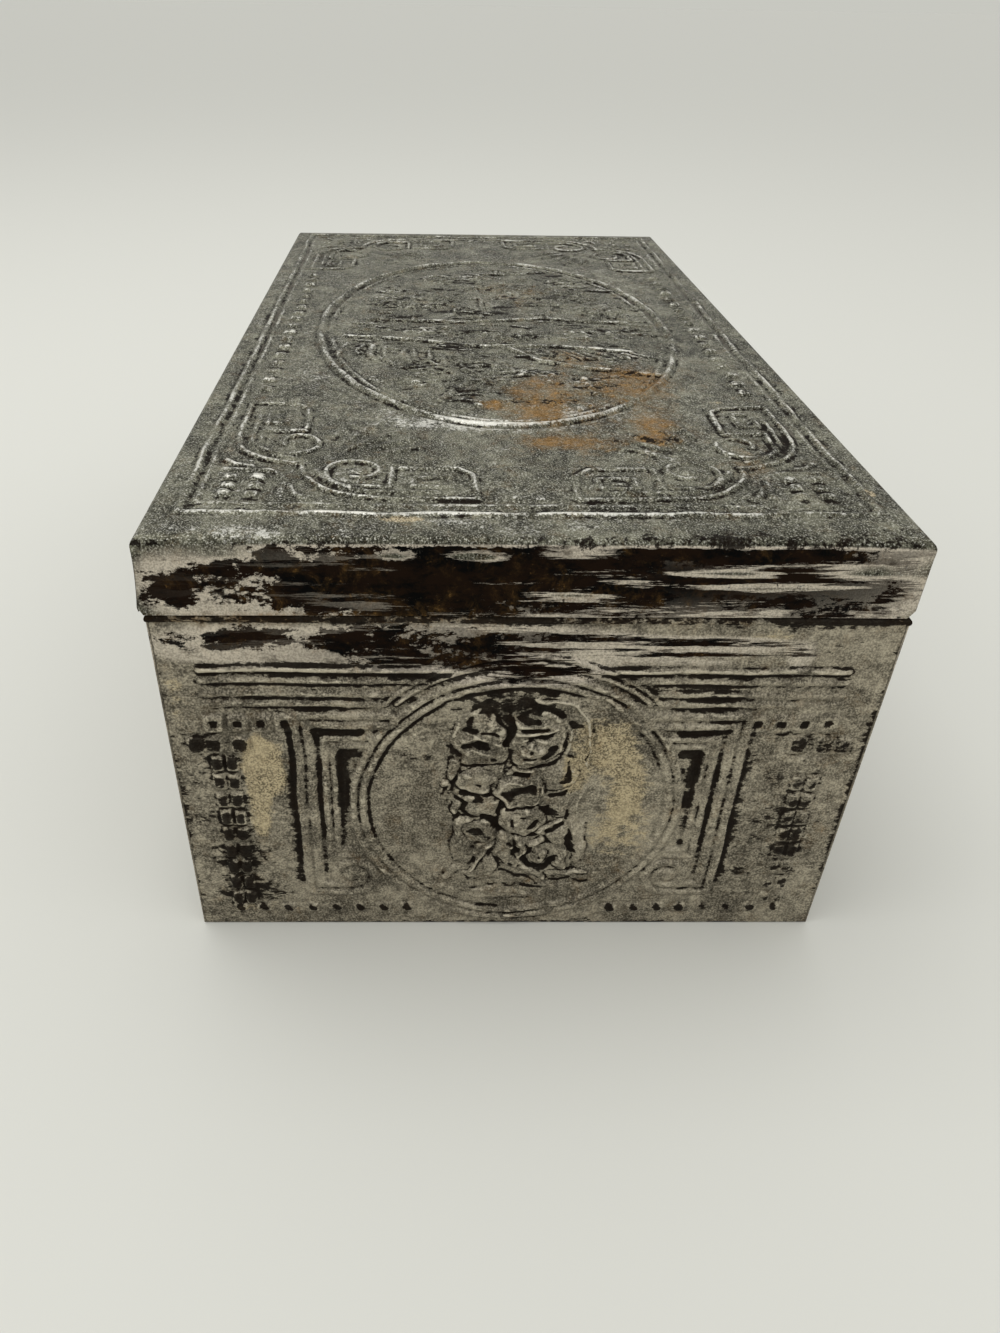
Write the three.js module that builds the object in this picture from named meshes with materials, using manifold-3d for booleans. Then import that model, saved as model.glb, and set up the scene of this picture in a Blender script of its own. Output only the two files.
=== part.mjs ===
// A long hinged box of thin embossed sheet metal, with a wired rim and a flat lid.
// Millimetres, +Z up. The origin is the middle of the underside. X runs along the box,
// and the lid hangs on the rim wire at the +Y side.
//
// Every panel has its own coordinates: u to the right and v up as the panel is seen from
// outside, and n out of it, with n = 0 on the sheet's outer face.

import * as THREE from 'three';
import { mergeVertices } from 'three/addons/utils/BufferGeometryUtils.js';
import Module from 'manifold-3d';

const library = await Module();
library.setup();

// Driving dimensions of the body
const LENGTH = 223.2;
const WIDTH = 120;
const WALL_HEIGHT = 70.3;
const SHEET = 0.35;
const SEAM = 0.05;
const BOTTOM_FLANGE = 4;

// Driving dimensions of the rolled rim and the wire in it
const WIRE_DIAMETER = 0.8;
const WIRE_CLEARANCE = 0.06;
const RIM_PROUD = 0.25;
const CURL_END = 250;

// Driving dimensions of the lid
const LID_HEIGHT = 13.3;
const LID_OVERHANG = 0.2;
const LID_GAP = 0.1;
const LID_FOLD = 1.5;
const LID_SLIT = 0.3;
const LID_SNIP = 1;

// Driving dimensions of the hinge straps and their rivets
const STRAP_SHEET = 0.3;
const STRAP_WIDTH = 14;
const STRAP_HEIGHT = 9.5;
const STRAP_FROM_END = 49.5;
const STRAP_CLEARANCE = 0.25;
const RIVET_DIAMETER = 1.4;
const RIVET_HEAD_DIAMETER = 2.8;
const RIVET_HEAD_HEIGHT = 0.45;
const RIVET_CLEARANCE = 0.08;
const RIVET_SPACING = 7;
const RIVET_HEIGHT = 5.5;

// Driving dimensions of the embossing
const RELIEF = 0.7;
const RELIEF_SINK = 0.15;
const BEAD_WIDTH = 1.3;
const FINE_WIDTH = 0.9;
const STUD = 2.4;
const SMALL_STUD = 2;

// The lid's design
const LID_DESIGN_SHIFT = -1.6;
const BORDER_FROM_END = 8.1;
const BORDER_FROM_SIDE = 5;
const BORDER_PITCH = 2.2;
const OVAL_LENGTH = 134;
const OVAL_WIDTH = 83.6;
const DASH_COUNT = 18;
const DASH_PITCH = 5.7;
const DASH_WIDTH = 1.8;
const DASH_FROM_BORDER = 6.3;
const END_STUD_INSET = 5;
const END_STUD_PITCH = 3.5;
const LEAF_WIDTH = 1.8;

// The scrolled corners of the lid, measured in from two border lines
const ARM_CENTRE = [17.8, 30.4];
const ARM_RADIUS = 13;
const ARM_END = [[4.5, 47], [13.5, 46.5], [16.2, 44], [16.5, 34]];
const SPIRAL_CENTRE = [15, 27];
const SPIRAL_RADII = [6, 1.8];
const SPIRAL_START = [[16.5, 32.5], [8.5, 32.5]];
const LOOP = [[8.5, 36.5], [8.5, 43], [12.5, 43], [12.5, 36.5]];
const BRACKET_CENTRE = 11;
const BRACKET_RADIUS = 4;
const BRACKET_EDGE = 4.5;
const TIP = [[4.5, 19.3], [8, 16.8]];
const CORNER_STUDS = [5.75, 10];
const LEAVES = [[[23, 24.5], [33, 34]], [[22, 31], [25.5, 38]], [[31, 22], [38, 25.5]]];

// The walls' design
const ROUNDEL_RADIUS = 29.6;
const ROUNDEL_FOOT = 1.7;
const ROUNDEL_PITCH = 3.1;
const REED_DROPS = [9, 11.2, 13.9, 15.9];
const MARGIN = 6.5;
const STUD_PITCH = 4.6;
const STUD_INSET = 1;
const STUD_COLUMN_TOP = 21;
const STUD_ROW_RISE = 3.8;
const SIDE_FRAME_GAP = 13;
const SIDE_FRAME_STEP = 5;

// The angular scrolls beside the roundel: an outer and an inner one
const KEY_DROP = 19.4;
const KEY_GAP = 7.7;
const KEY_BAR = 15;
const KEY_RISE = 9.8;
const KEY_CURL_RADII = [3.1, 2.2];
const KEY_CURL_INSET = 7.1;
const INNER_KEY_DROP = 24.2;
const INNER_KEY_GAP = 3.3;
const INNER_KEY_BAR = 5.5;
const INNER_KEY_RISE = 20.3;
const INNER_KEY_FOOT = 4.5;

// Sizes that follow from those above
const wireRadius = WIRE_DIAMETER / 2;
const boreRadius = wireRadius + WIRE_CLEARANCE;
const rimRadius = boreRadius + SHEET;
const rimInset = rimRadius - RIM_PROUD;
const rimZ = WALL_HEIGHT + Math.sqrt(rimRadius ** 2 - rimInset ** 2);
const cornerZ = rimZ - rimRadius;
const lidEdgeZ = rimZ + rimRadius + LID_GAP;
const lidTopZ = lidEdgeZ + LID_HEIGHT;
const lidHalfLength = LENGTH / 2 + LID_OVERHANG;
const lidHalfWidth = WIDTH / 2 + LID_OVERHANG;
const hingeY = WIDTH / 2 - rimInset;
const strapX = LENGTH / 2 - STRAP_FROM_END;
const strapRadius = boreRadius + STRAP_SHEET;
const strapOuterY = lidHalfWidth - SHEET - SEAM;
const strapInnerY = strapOuterY - STRAP_SHEET;
const roundelCentre = [0, ROUNDEL_FOOT + ROUNDEL_RADIUS];

// Counts of flat sides on what is round
const ROUND_SIDES = 12;
const SCROLL_STEPS = 9;
const RING_STEPS = 36;
const HOP_STEPS = 5;
const CURL_STEPS = 6;
const ARM_STEPS = 3;
const BRACKET_STEPS = 2;
const FOLD_STEPS = 4;
const CUT = 2;

const X = new THREE.Vector3(1, 0, 0);
const Y = new THREE.Vector3(0, 1, 0);
const Z = new THREE.Vector3(0, 0, 1);

const finish = (color, roughness, metalness) =>
  new THREE.MeshStandardMaterial({ color, roughness, metalness });
const lidFinish = finish(0x85827a, 0.5, 0.8);
const wallFinish = finish(0x8f8577, 0.5, 0.75);
const bottomFinish = finish(0x6b655c, 0.6, 0.7);
const wireFinish = finish(0x5a4636, 0.7, 0.6);
const strapFinish = finish(0x7a7368, 0.5, 0.8);

// Joining and cutting

function toSolid(geometry) {
  const bare = geometry.clone();
  bare.deleteAttribute('normal');
  bare.deleteAttribute('uv');
  const merged = mergeVertices(bare, 1e-5);
  return new library.Manifold(new library.Mesh({
    numProp: 3,
    vertProperties: new Float32Array(merged.getAttribute('position').array),
    triVerts: new Uint32Array(merged.getIndex().array),
  }));
}

function toGeometry(solid) {
  const mesh = solid.getMesh();
  const geometry = new THREE.BufferGeometry();
  geometry.setAttribute('position', new THREE.BufferAttribute(mesh.vertProperties, 3));
  geometry.setIndex(new THREE.BufferAttribute(mesh.triVerts, 1));
  geometry.computeVertexNormals();
  return geometry;
}

const join = (solids) => solids.reduce((whole, solid) => whole.add(solid));
const cut = (solid, tools) => tools.reduce((rest, tool) => rest.subtract(tool), solid);

function box(low, high) {
  const size = high.map((value, i) => value - low[i]);
  const middle = high.map((value, i) => (value + low[i]) / 2);
  return toSolid(new THREE.BoxGeometry(...size).translate(...middle));
}

function extruded(shape, depth) {
  return new THREE.ExtrudeGeometry(shape, { depth, bevelEnabled: false });
}

// Panels

const panels = {
  nearEnd: { right: Y, out: X, from: LENGTH / 2, half: WIDTH / 2 },
  farEnd: { right: Y.clone().negate(), out: X.clone().negate(), from: LENGTH / 2, half: WIDTH / 2 },
  front: { right: X, out: Y.clone().negate(), from: WIDTH / 2, half: LENGTH / 2 },
  back: { right: X.clone().negate(), out: Y, from: WIDTH / 2, half: LENGTH / 2 },
};

function faceMatrix(panel) {
  const place = panel.out.clone().multiplyScalar(panel.from);
  return new THREE.Matrix4().makeBasis(panel.right, Z, panel.out).setPosition(place);
}

function sectionMatrix(panel) {
  const left = panel.right.clone().negate();
  const place = panel.out.clone().multiplyScalar(panel.from);
  return new THREE.Matrix4().makeBasis(panel.out, Z, left).setPosition(place);
}

function planMatrix(panel, z) {
  const place = panel.out.clone().multiplyScalar(panel.from).setZ(z);
  const left = panel.right.clone().negate();
  return new THREE.Matrix4().makeBasis(panel.out, left.negate(), Z).setPosition(place);
}

// Lines and shapes for the embossing, as lists of [u, v]

function arc(centre, radius, from, to, steps) {
  return Array.from({ length: steps + 1 }, (_, i) => {
    const share = i / steps;
    const angle = THREE.MathUtils.degToRad(from + (to - from) * share);
    const reach = Array.isArray(radius) ? radius[0] + (radius[1] - radius[0]) * share : radius;
    return [centre[0] + reach * Math.cos(angle), centre[1] + reach * Math.sin(angle)];
  });
}

function ellipse(centre, halfU, halfV, steps) {
  return Array.from({ length: steps }, (_, i) => {
    const angle = (2 * Math.PI * i) / steps;
    return [centre[0] + halfU * Math.cos(angle), centre[1] + halfV * Math.sin(angle)];
  });
}

const toVectors = (points) => points.map(([u, v]) => new THREE.Vector2(u, v));
const outline = (points) => new THREE.Shape(toVectors(points));

// A band of one width along an open line, with mitred corners
function band(points, width) {
  const line = toVectors(points);
  const last = line.length - 1;
  const side = (a, b) => new THREE.Vector2(a.y - b.y, b.x - a.x).normalize();
  const left = [];
  const right = [];
  line.forEach((point, i) => {
    const before = side(line[Math.max(i - 1, 0)], line[Math.max(i, 1)]);
    const after = side(line[Math.min(i, last - 1)], line[Math.min(i + 1, last)]);
    const normal = before.clone().add(after).normalize();
    const reach = width / 2 / Math.max(normal.dot(before), 0.5);
    left.push(point.clone().addScaledVector(normal, reach));
    right.push(point.clone().addScaledVector(normal, -reach));
  });
  return new THREE.Shape([...left, ...right.reverse()]);
}

function ring(centre, halfU, halfV, width, steps) {
  const shape = outline(ellipse(centre, halfU, halfV, steps));
  shape.holes.push(new THREE.Path(toVectors(
    ellipse(centre, halfU - width, halfV - width, steps))));
  return shape;
}

function frame(lowU, lowV, highU, highV, width) {
  const corners = (inset) => [
    [lowU + inset, lowV + inset], [highU - inset, lowV + inset],
    [highU - inset, highV - inset], [lowU + inset, highV - inset],
  ];
  const shape = outline(corners(-width / 2));
  shape.holes.push(new THREE.Path(toVectors(corners(width / 2))));
  return shape;
}

function tile([u, v], sizeU, sizeV = sizeU) {
  return outline([
    [u - sizeU / 2, v - sizeV / 2], [u + sizeU / 2, v - sizeV / 2],
    [u + sizeU / 2, v + sizeV / 2], [u - sizeU / 2, v + sizeV / 2],
  ]);
}

// A pointed leaf between two places
function leaf(from, to, width) {
  const [u0, v0] = from;
  const [u1, v1] = to;
  const length = Math.hypot(u1 - u0, v1 - v0);
  const across = [-(v1 - v0) / length, (u1 - u0) / length];
  const at = (share, offset) => [
    u0 + (u1 - u0) * share + across[0] * offset,
    v0 + (v1 - v0) * share + across[1] * offset,
  ];
  return outline([
    at(0, 0), at(0.35, -width / 2), at(0.65, -width / 2),
    at(1, 0), at(0.65, width / 2), at(0.35, width / 2),
  ]);
}

function emboss(sheet, shapes, matrix) {
  const relief = shapes.map((shape) => {
    const raised = extruded(shape, RELIEF + RELIEF_SINK).translate(0, 0, -RELIEF_SINK);
    return toSolid(raised.applyMatrix4(matrix));
  });
  return join([sheet, ...relief]);
}

// Walls

// The rolled edge in section: the sheet rises outside the wire, goes over it and ends inside
function curlSection() {
  const centre = [-rimInset, rimZ];
  const outerStart = -THREE.MathUtils.radToDeg(Math.acos(rimInset / rimRadius));
  const innerStart = -THREE.MathUtils.radToDeg(Math.acos((rimInset - SHEET) / boreRadius));
  return outline([
    [-SHEET, cornerZ], [0, cornerZ],
    ...arc(centre, rimRadius, outerStart, CURL_END, ROUND_SIDES - 2),
    ...arc(centre, boreRadius, CURL_END, innerStart, ROUND_SIDES - 2),
  ]);
}

function rolledRim(panel) {
  const long = 2 * (panel.half + CUT);
  const curl = toSolid(extruded(curlSection(), long).translate(0, 0, -long / 2)
    .applyMatrix4(sectionMatrix(panel)));
  const inside = -rimInset - rimRadius - CUT;
  const reach = panel.half - SEAM / 2;
  const mitre = extruded(outline([
    [CUT, reach + CUT], [inside, reach + inside], [inside, -reach - inside], [CUT, -reach - CUT],
  ]), 2 * rimRadius + CUT);
  return curl.intersect(toSolid(mitre.applyMatrix4(planMatrix(panel, cornerZ))));
}

function wallSheet(panel, half) {
  const flat = extruded(outline([
    [-half, 0], [half, 0], [half, cornerZ], [-half, cornerZ],
  ]), SHEET).translate(0, 0, -SHEET);
  return toSolid(flat.applyMatrix4(faceMatrix(panel))).add(rolledRim(panel));
}

function reeds(half) {
  const side = half - MARGIN;
  const reach = ROUNDEL_RADIUS + BEAD_WIDTH;
  return REED_DROPS.flatMap((drop, i) => {
    const v = WALL_HEIGHT - drop;
    if (v - roundelCentre[1] >= reach) {
      return [band([[side, v], [-side, v]], FINE_WIDTH)];
    }
    const angle = Math.asin((v - roundelCentre[1]) / reach);
    if (i === 0) {
      const start = THREE.MathUtils.radToDeg(angle);
      const hop = arc(roundelCentre, reach, start, 180 - start, HOP_STEPS);
      return [band([[side, v], ...hop, [-side, v]], FINE_WIDTH)];
    }
    const stop = reach * Math.cos(angle);
    return [1, -1].map((sign) => band([[sign * side, v], [sign * stop, v]], FINE_WIDTH));
  });
}

// Columns of studs at the panel's ends
function studColumns(half) {
  const column = half - MARGIN - STUD / 2 - STUD_INSET;
  const top = WALL_HEIGHT - STUD_COLUMN_TOP;
  const count = Math.floor((top - STUD_ROW_RISE) / STUD_PITCH);
  return [1, -1].flatMap((sign) => Array.from({ length: count }, (_, i) =>
    tile([sign * column, top - i * STUD_PITCH], STUD)));
}

// A row of studs along the foot of an end panel, and a short one above the angular scrolls
function studRows(half) {
  const column = half - MARGIN - STUD / 2 - STUD_INSET;
  const top = WALL_HEIGHT - STUD_COLUMN_TOP;
  const across = Math.floor((column - ROUNDEL_RADIUS / 2) / STUD_PITCH);
  return [1, -1].flatMap((sign) => [
    ...Array.from({ length: across + 1 }, (_, i) =>
      tile([sign * (column - i * STUD_PITCH), STUD_ROW_RISE], STUD)),
    ...[1, 2].map((i) => tile([sign * (column - i * STUD_PITCH), top], STUD)),
  ]);
}

function roundel() {
  const inner = ROUNDEL_RADIUS - ROUNDEL_PITCH + BEAD_WIDTH;
  return [
    ring(roundelCentre, ROUNDEL_RADIUS, ROUNDEL_RADIUS, BEAD_WIDTH, RING_STEPS),
    ring(roundelCentre, inner, inner, FINE_WIDTH, RING_STEPS),
  ];
}

// The angular scroll beside the roundel
function keyFrame(sign) {
  const at = ([u, v]) => [sign * u, v];
  const top = WALL_HEIGHT - KEY_DROP;
  const outer = ROUNDEL_RADIUS + KEY_GAP;
  const curlCentre = [outer - KEY_CURL_INSET, KEY_RISE + KEY_CURL_RADII[0]];
  const curl = arc(curlCentre, KEY_CURL_RADII, -90, -340, CURL_STEPS);
  const innerTop = WALL_HEIGHT - INNER_KEY_DROP;
  const inner = ROUNDEL_RADIUS + INNER_KEY_GAP;
  return [
    band([[outer - KEY_BAR, top], [outer, top], [outer, KEY_RISE], ...curl].map(at), BEAD_WIDTH),
    band([
      [inner - INNER_KEY_BAR, innerTop], [inner, innerTop],
      [inner, INNER_KEY_RISE], [inner - INNER_KEY_FOOT, INNER_KEY_RISE],
    ].map(at), BEAD_WIDTH),
  ];
}

// Turns a corner ornament's places, measured in from two border lines, into [u, v]
const cornerPlace = (borderU, borderV, signU, signV) => ([along, across]) =>
  [signU * (borderU - along), signV * (borderV - across)];

const swapped = ([a, b]) => [b, a];

function scrollArm(place) {
  const outer = arc(ARM_CENTRE, ARM_RADIUS, 270, 180, ARM_STEPS);
  const spiral = arc(SPIRAL_CENTRE, SPIRAL_RADII, 170, 600, SCROLL_STEPS);
  return [
    band([...outer, ...ARM_END].map(place), BEAD_WIDTH),
    band([...SPIRAL_START, ...spiral].map(place), FINE_WIDTH),
    band(LOOP.map(place), FINE_WIDTH),
  ];
}

function cornerStuds(place) {
  const reach = BRACKET_CENTRE + BRACKET_RADIUS;
  const bend = arc([BRACKET_CENTRE, BRACKET_CENTRE], BRACKET_RADIUS, 0, 90, BRACKET_STEPS);
  const bracket = [[reach, BRACKET_EDGE], ...bend, [BRACKET_EDGE, reach]];
  const tips = [TIP, TIP.map(swapped)];
  const studs = CORNER_STUDS.flatMap((a) => CORNER_STUDS.map((b) => [a, b]));
  return [
    band(bracket.map(place), FINE_WIDTH),
    ...tips.map((tip) => band(tip.map(place), FINE_WIDTH)),
    ...studs.map((spot) => tile(place(spot), SMALL_STUD)),
  ];
}

function leaves(place) {
  return LEAVES.map(([from, to]) => leaf(place(from), place(to), LEAF_WIDTH));
}

// On the long walls two nested frames fill the space beside the roundel
function sideFrames() {
  const outerU = LENGTH / 2 - MARGIN - 2 * STUD;
  const innerU = ROUNDEL_RADIUS + SIDE_FRAME_GAP;
  const top = WALL_HEIGHT - STUD_COLUMN_TOP;
  return [0, SIDE_FRAME_STEP].flatMap((inset) => [1, -1].map((sign) => {
    const ends = [sign * (outerU - inset), sign * (innerU + inset)].sort((a, b) => a - b);
    return frame(ends[0], 2 * STUD_ROW_RISE + inset, ends[1], top - inset, FINE_WIDTH);
  }));
}

function endWall(panel) {
  const sheet = wallSheet(panel, panel.half - SHEET - SEAM);
  const shapes = [...reeds(panel.half), ...studColumns(panel.half), ...studRows(panel.half),
    ...roundel(), ...keyFrame(1), ...keyFrame(-1)];
  return emboss(sheet, shapes, faceMatrix(panel));
}

function sideWall(panel) {
  const sheet = wallSheet(panel, panel.half);
  const shapes = [...reeds(panel.half), ...studColumns(panel.half), ...roundel(),
    ...keyFrame(1), ...keyFrame(-1), ...sideFrames()];
  return emboss(sheet, shapes, faceMatrix(panel));
}

// Openings in the back rim that leave the wire bare for the straps
function hingeNotches() {
  const half = STRAP_WIDTH / 2 + STRAP_CLEARANCE;
  return [strapX, -strapX].map((x) => box(
    [x - half, hingeY - CUT, rimZ - strapRadius - STRAP_CLEARANCE],
    [x + half, hingeY + CUT, rimZ + rimRadius + CUT]));
}

function bottomPlate() {
  const halfX = LENGTH / 2 - SHEET - SEAM;
  const halfY = WIDTH / 2 - SHEET - SEAM;
  const block = box([-halfX, -halfY, 0], [halfX, halfY, BOTTOM_FLANGE]);
  return cut(block, [box(
    [SHEET - halfX, SHEET - halfY, SHEET], [halfX - SHEET, halfY - SHEET, BOTTOM_FLANGE + CUT])]);
}

function rimWire() {
  const halfX = LENGTH / 2 - rimInset;
  const halfY = hingeY;
  const rod = (length) => new THREE.CylinderGeometry(wireRadius, wireRadius, length, ROUND_SIDES);
  const rods = [1, -1].flatMap((sign) => [
    rod(2 * halfX).rotateZ(Math.PI / 2).translate(0, sign * halfY, rimZ),
    rod(2 * halfY).translate(sign * halfX, 0, rimZ),
  ]);
  const bends = [[1, 1], [1, -1], [-1, 1], [-1, -1]].map(([x, y]) =>
    new THREE.SphereGeometry(wireRadius, ROUND_SIDES, 8).translate(x * halfX, y * halfY, rimZ));
  return join([...rods, ...bends].map(toSolid));
}

// Lid

function foldedSection(half, top, fold, bottom) {
  const right = arc([half - fold, top - fold], fold, 0, 90, FOLD_STEPS);
  const left = right.map(([u, v]) => [-u, v]).reverse();
  return outline([[-half, bottom], [half, bottom], ...right, ...left]);
}

function foldedBlock(inset, bottom) {
  const sizes = [lidHalfLength - inset, lidHalfWidth - inset];
  const [along, across] = sizes.map((half, i) => {
    const depth = 2 * (sizes[1 - i] + CUT);
    const section = foldedSection(half, lidTopZ - inset, LID_FOLD - inset, bottom);
    return extruded(section, depth).translate(0, 0, -depth / 2).rotateX(Math.PI / 2);
  });
  return toSolid(along).intersect(toSolid(across.rotateZ(Math.PI / 2)));
}

function cornerSlits() {
  const top = lidTopZ - LID_FOLD - SHEET;
  return [[1, 1], [1, -1], [-1, 1], [-1, -1]].map(([x, y]) => {
    const slit = new THREE.BoxGeometry(4 * SHEET, LID_SLIT, top - lidEdgeZ + CUT)
      .rotateZ((x * y * Math.PI) / 4)
      .translate(x * lidHalfLength, y * lidHalfWidth, (top + lidEdgeZ - CUT) / 2);
    return toSolid(slit);
  });
}

function lowerSnips() {
  return Object.values(panels).flatMap((panel) => [1, -1].map((sign) => {
    const corner = sign * (panel.half + LID_OVERHANG);
    const snip = extruded(outline([
      [corner + sign, lidEdgeZ - 1], [corner + sign, lidEdgeZ + LID_SNIP + 1],
      [corner - sign * (LID_SNIP + 1), lidEdgeZ - 1],
    ]), CUT * 2).translate(0, 0, LID_OVERHANG - CUT);
    return toSolid(snip.applyMatrix4(faceMatrix(panel)));
  }));
}

function rivetPlaces() {
  return [strapX, -strapX].flatMap((x) => [-0.5, 0.5].map((share) =>
    [x + share * RIVET_SPACING, rimZ + RIVET_HEIGHT]));
}

function rivetHoles() {
  const radius = RIVET_DIAMETER / 2 + RIVET_CLEARANCE;
  return rivetPlaces().map(([x, z]) => toSolid(
    new THREE.CylinderGeometry(radius, radius, 2 * CUT, ROUND_SIDES)
      .translate(x, strapOuterY, z)));
}

function lidBorder(halfU, halfV) {
  return [0, BORDER_PITCH].map((inset) =>
    frame(inset - halfU, inset - halfV, halfU - inset, halfV - inset, FINE_WIDTH));
}

function lidDashes(halfV) {
  const row = halfV - DASH_FROM_BORDER;
  return Array.from({ length: DASH_COUNT }, (_, i) => (i - (DASH_COUNT - 1) / 2) * DASH_PITCH)
    .flatMap((u) => [tile([u, row], DASH_WIDTH, STUD), tile([u, -row], DASH_WIDTH, STUD)]);
}

function lidDesign() {
  const halfU = LENGTH / 2 - BORDER_FROM_END;
  const halfV = WIDTH / 2 - BORDER_FROM_SIDE;
  const oval = [OVAL_LENGTH / 2, OVAL_WIDTH / 2];
  const corners = [[1, 1], [1, -1], [-1, 1], [-1, -1]].flatMap(([signU, signV]) => {
    const place = cornerPlace(halfU, halfV, signU, signV);
    return [...scrollArm(place), ...scrollArm((point) => place(swapped(point))),
      ...cornerStuds(place), ...leaves(place)];
  });
  const middles = [1, -1].flatMap((sign) => [-0.5, 0.5].map((share) =>
    tile([sign * (halfU - END_STUD_INSET), share * END_STUD_PITCH], SMALL_STUD)));
  return [
    ...lidBorder(halfU, halfV), ...lidDashes(halfV), ...corners, ...middles,
    ring([0, 0], ...oval, BEAD_WIDTH, RING_STEPS),
    ring([0, 0], ...oval.map((half) => half - BORDER_PITCH), FINE_WIDTH, RING_STEPS),
  ];
}

function lidShell() {
  const shell = foldedBlock(0, lidEdgeZ).subtract(foldedBlock(SHEET, lidEdgeZ - CUT));
  const blank = cut(shell, [...cornerSlits(), ...lowerSnips(), ...rivetHoles()]);
  const top = new THREE.Matrix4().makeTranslation(LID_DESIGN_SHIFT, 0, lidTopZ);
  return emboss(blank, lidDesign(), top);
}

// Hinge

function strap(x) {
  const hole = new THREE.Path(toVectors(ellipse([0, 0], boreRadius, boreRadius, ROUND_SIDES)));
  const loop = outline(ellipse([0, 0], strapRadius, strapRadius, ROUND_SIDES));
  loop.holes.push(hole);
  const eye = extruded(loop, STRAP_WIDTH).translate(0, 0, -STRAP_WIDTH / 2)
    .rotateX(Math.PI / 2).rotateZ(Math.PI / 2).translate(x, hingeY, rimZ);
  const leafBottom = rimZ + (boreRadius + strapRadius) / 2;
  const flat = box([x - STRAP_WIDTH / 2, strapInnerY, leafBottom],
    [x + STRAP_WIDTH / 2, strapOuterY, rimZ + STRAP_HEIGHT]);
  return cut(toSolid(eye).add(flat), rivetHoles());
}

function rivet([x, z]) {
  const head = RIVET_HEAD_DIAMETER / 2;
  const shank = RIVET_DIAMETER / 2;
  const inner = strapInnerY - SEAM;
  const outer = lidHalfWidth + SEAM;
  const profile = [
    [0, inner - RIVET_HEAD_HEIGHT], [head, inner - RIVET_HEAD_HEIGHT], [head, inner],
    [shank, inner], [shank, outer], [head, outer],
    [head * 0.7, outer + RIVET_HEAD_HEIGHT * 0.8], [0, outer + RIVET_HEAD_HEIGHT],
  ];
  return toSolid(new THREE.LatheGeometry(toVectors(profile), ROUND_SIDES).translate(x, 0, z));
}

// Assembly

function add(group, name, solid, material) {
  const mesh = new THREE.Mesh(toGeometry(solid), material);
  mesh.name = name;
  group.add(mesh);
}

function buildBody() {
  const body = new THREE.Group();
  add(body, 'bottom_plate', bottomPlate(), bottomFinish);
  add(body, 'end_panel_near', endWall(panels.nearEnd), wallFinish);
  add(body, 'end_panel_far', endWall(panels.farEnd), wallFinish);
  add(body, 'side_panel_front', sideWall(panels.front), wallFinish);
  add(body, 'side_panel_back', cut(sideWall(panels.back), hingeNotches()), wallFinish);
  add(body, 'rim_wire', rimWire(), wireFinish);
  return body;
}

function buildLid() {
  const lid = new THREE.Group();
  add(lid, 'lid_shell', lidShell(), lidFinish);
  [['near', strapX], ['far', -strapX]].forEach(([name, x]) =>
    add(lid, `hinge_strap_${name}`, strap(x), strapFinish));
  rivetPlaces().forEach((place, i) => add(lid, `hinge_rivet_${i + 1}`, rivet(place), strapFinish));
  return lid;
}

const hingedBox = new THREE.Group();
hingedBox.add(buildBody(), buildLid());

export default hingedBox;
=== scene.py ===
"""Dresses a long hinged box of embossed, worn silver-plated sheet metal around its CAD frame.

The embossed walls and the lid are modelled as a metalworker makes them: a flat blank of thin
sheet is given its relief, and then its edges are rolled or folded. Flat sizes are in
millimetres while a blank is worked, and every finished mesh is in metres.
"""

import sys
import logging
import math
from contextlib import contextmanager
from dataclasses import dataclass, field, replace
from enum import Enum
from functools import reduce
from typing import Callable, Iterable, Iterator, Sequence

import bpy
import numpy as np
from mathutils import Matrix, Vector


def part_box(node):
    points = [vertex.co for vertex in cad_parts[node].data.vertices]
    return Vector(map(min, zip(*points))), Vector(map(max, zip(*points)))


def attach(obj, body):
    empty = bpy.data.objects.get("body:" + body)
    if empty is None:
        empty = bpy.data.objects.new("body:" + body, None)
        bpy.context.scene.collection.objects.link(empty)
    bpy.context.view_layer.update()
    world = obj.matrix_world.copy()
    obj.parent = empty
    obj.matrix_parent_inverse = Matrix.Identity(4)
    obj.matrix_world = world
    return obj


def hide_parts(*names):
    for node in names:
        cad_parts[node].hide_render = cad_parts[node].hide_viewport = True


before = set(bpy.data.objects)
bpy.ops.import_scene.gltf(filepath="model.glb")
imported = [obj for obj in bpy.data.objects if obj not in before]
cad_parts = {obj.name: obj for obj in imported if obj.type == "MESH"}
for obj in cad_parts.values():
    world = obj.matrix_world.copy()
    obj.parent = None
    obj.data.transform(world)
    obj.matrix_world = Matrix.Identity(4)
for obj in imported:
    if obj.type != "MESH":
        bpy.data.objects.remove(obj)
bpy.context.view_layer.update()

LOG = logging.getLogger("hinged_box")
MM = 0.001
Array = np.ndarray
Point = tuple[float, float]
Row = tuple[float, ...]
Place = Callable[[Point], Point]
Cells = tuple[slice, slice]
Chooser = Callable[[Array, Array], Array]
Socket = bpy.types.NodeSocket
Input = Socket | float
Colour = tuple[float, float, float]


# Sizes that the sub-assemblies share


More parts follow.
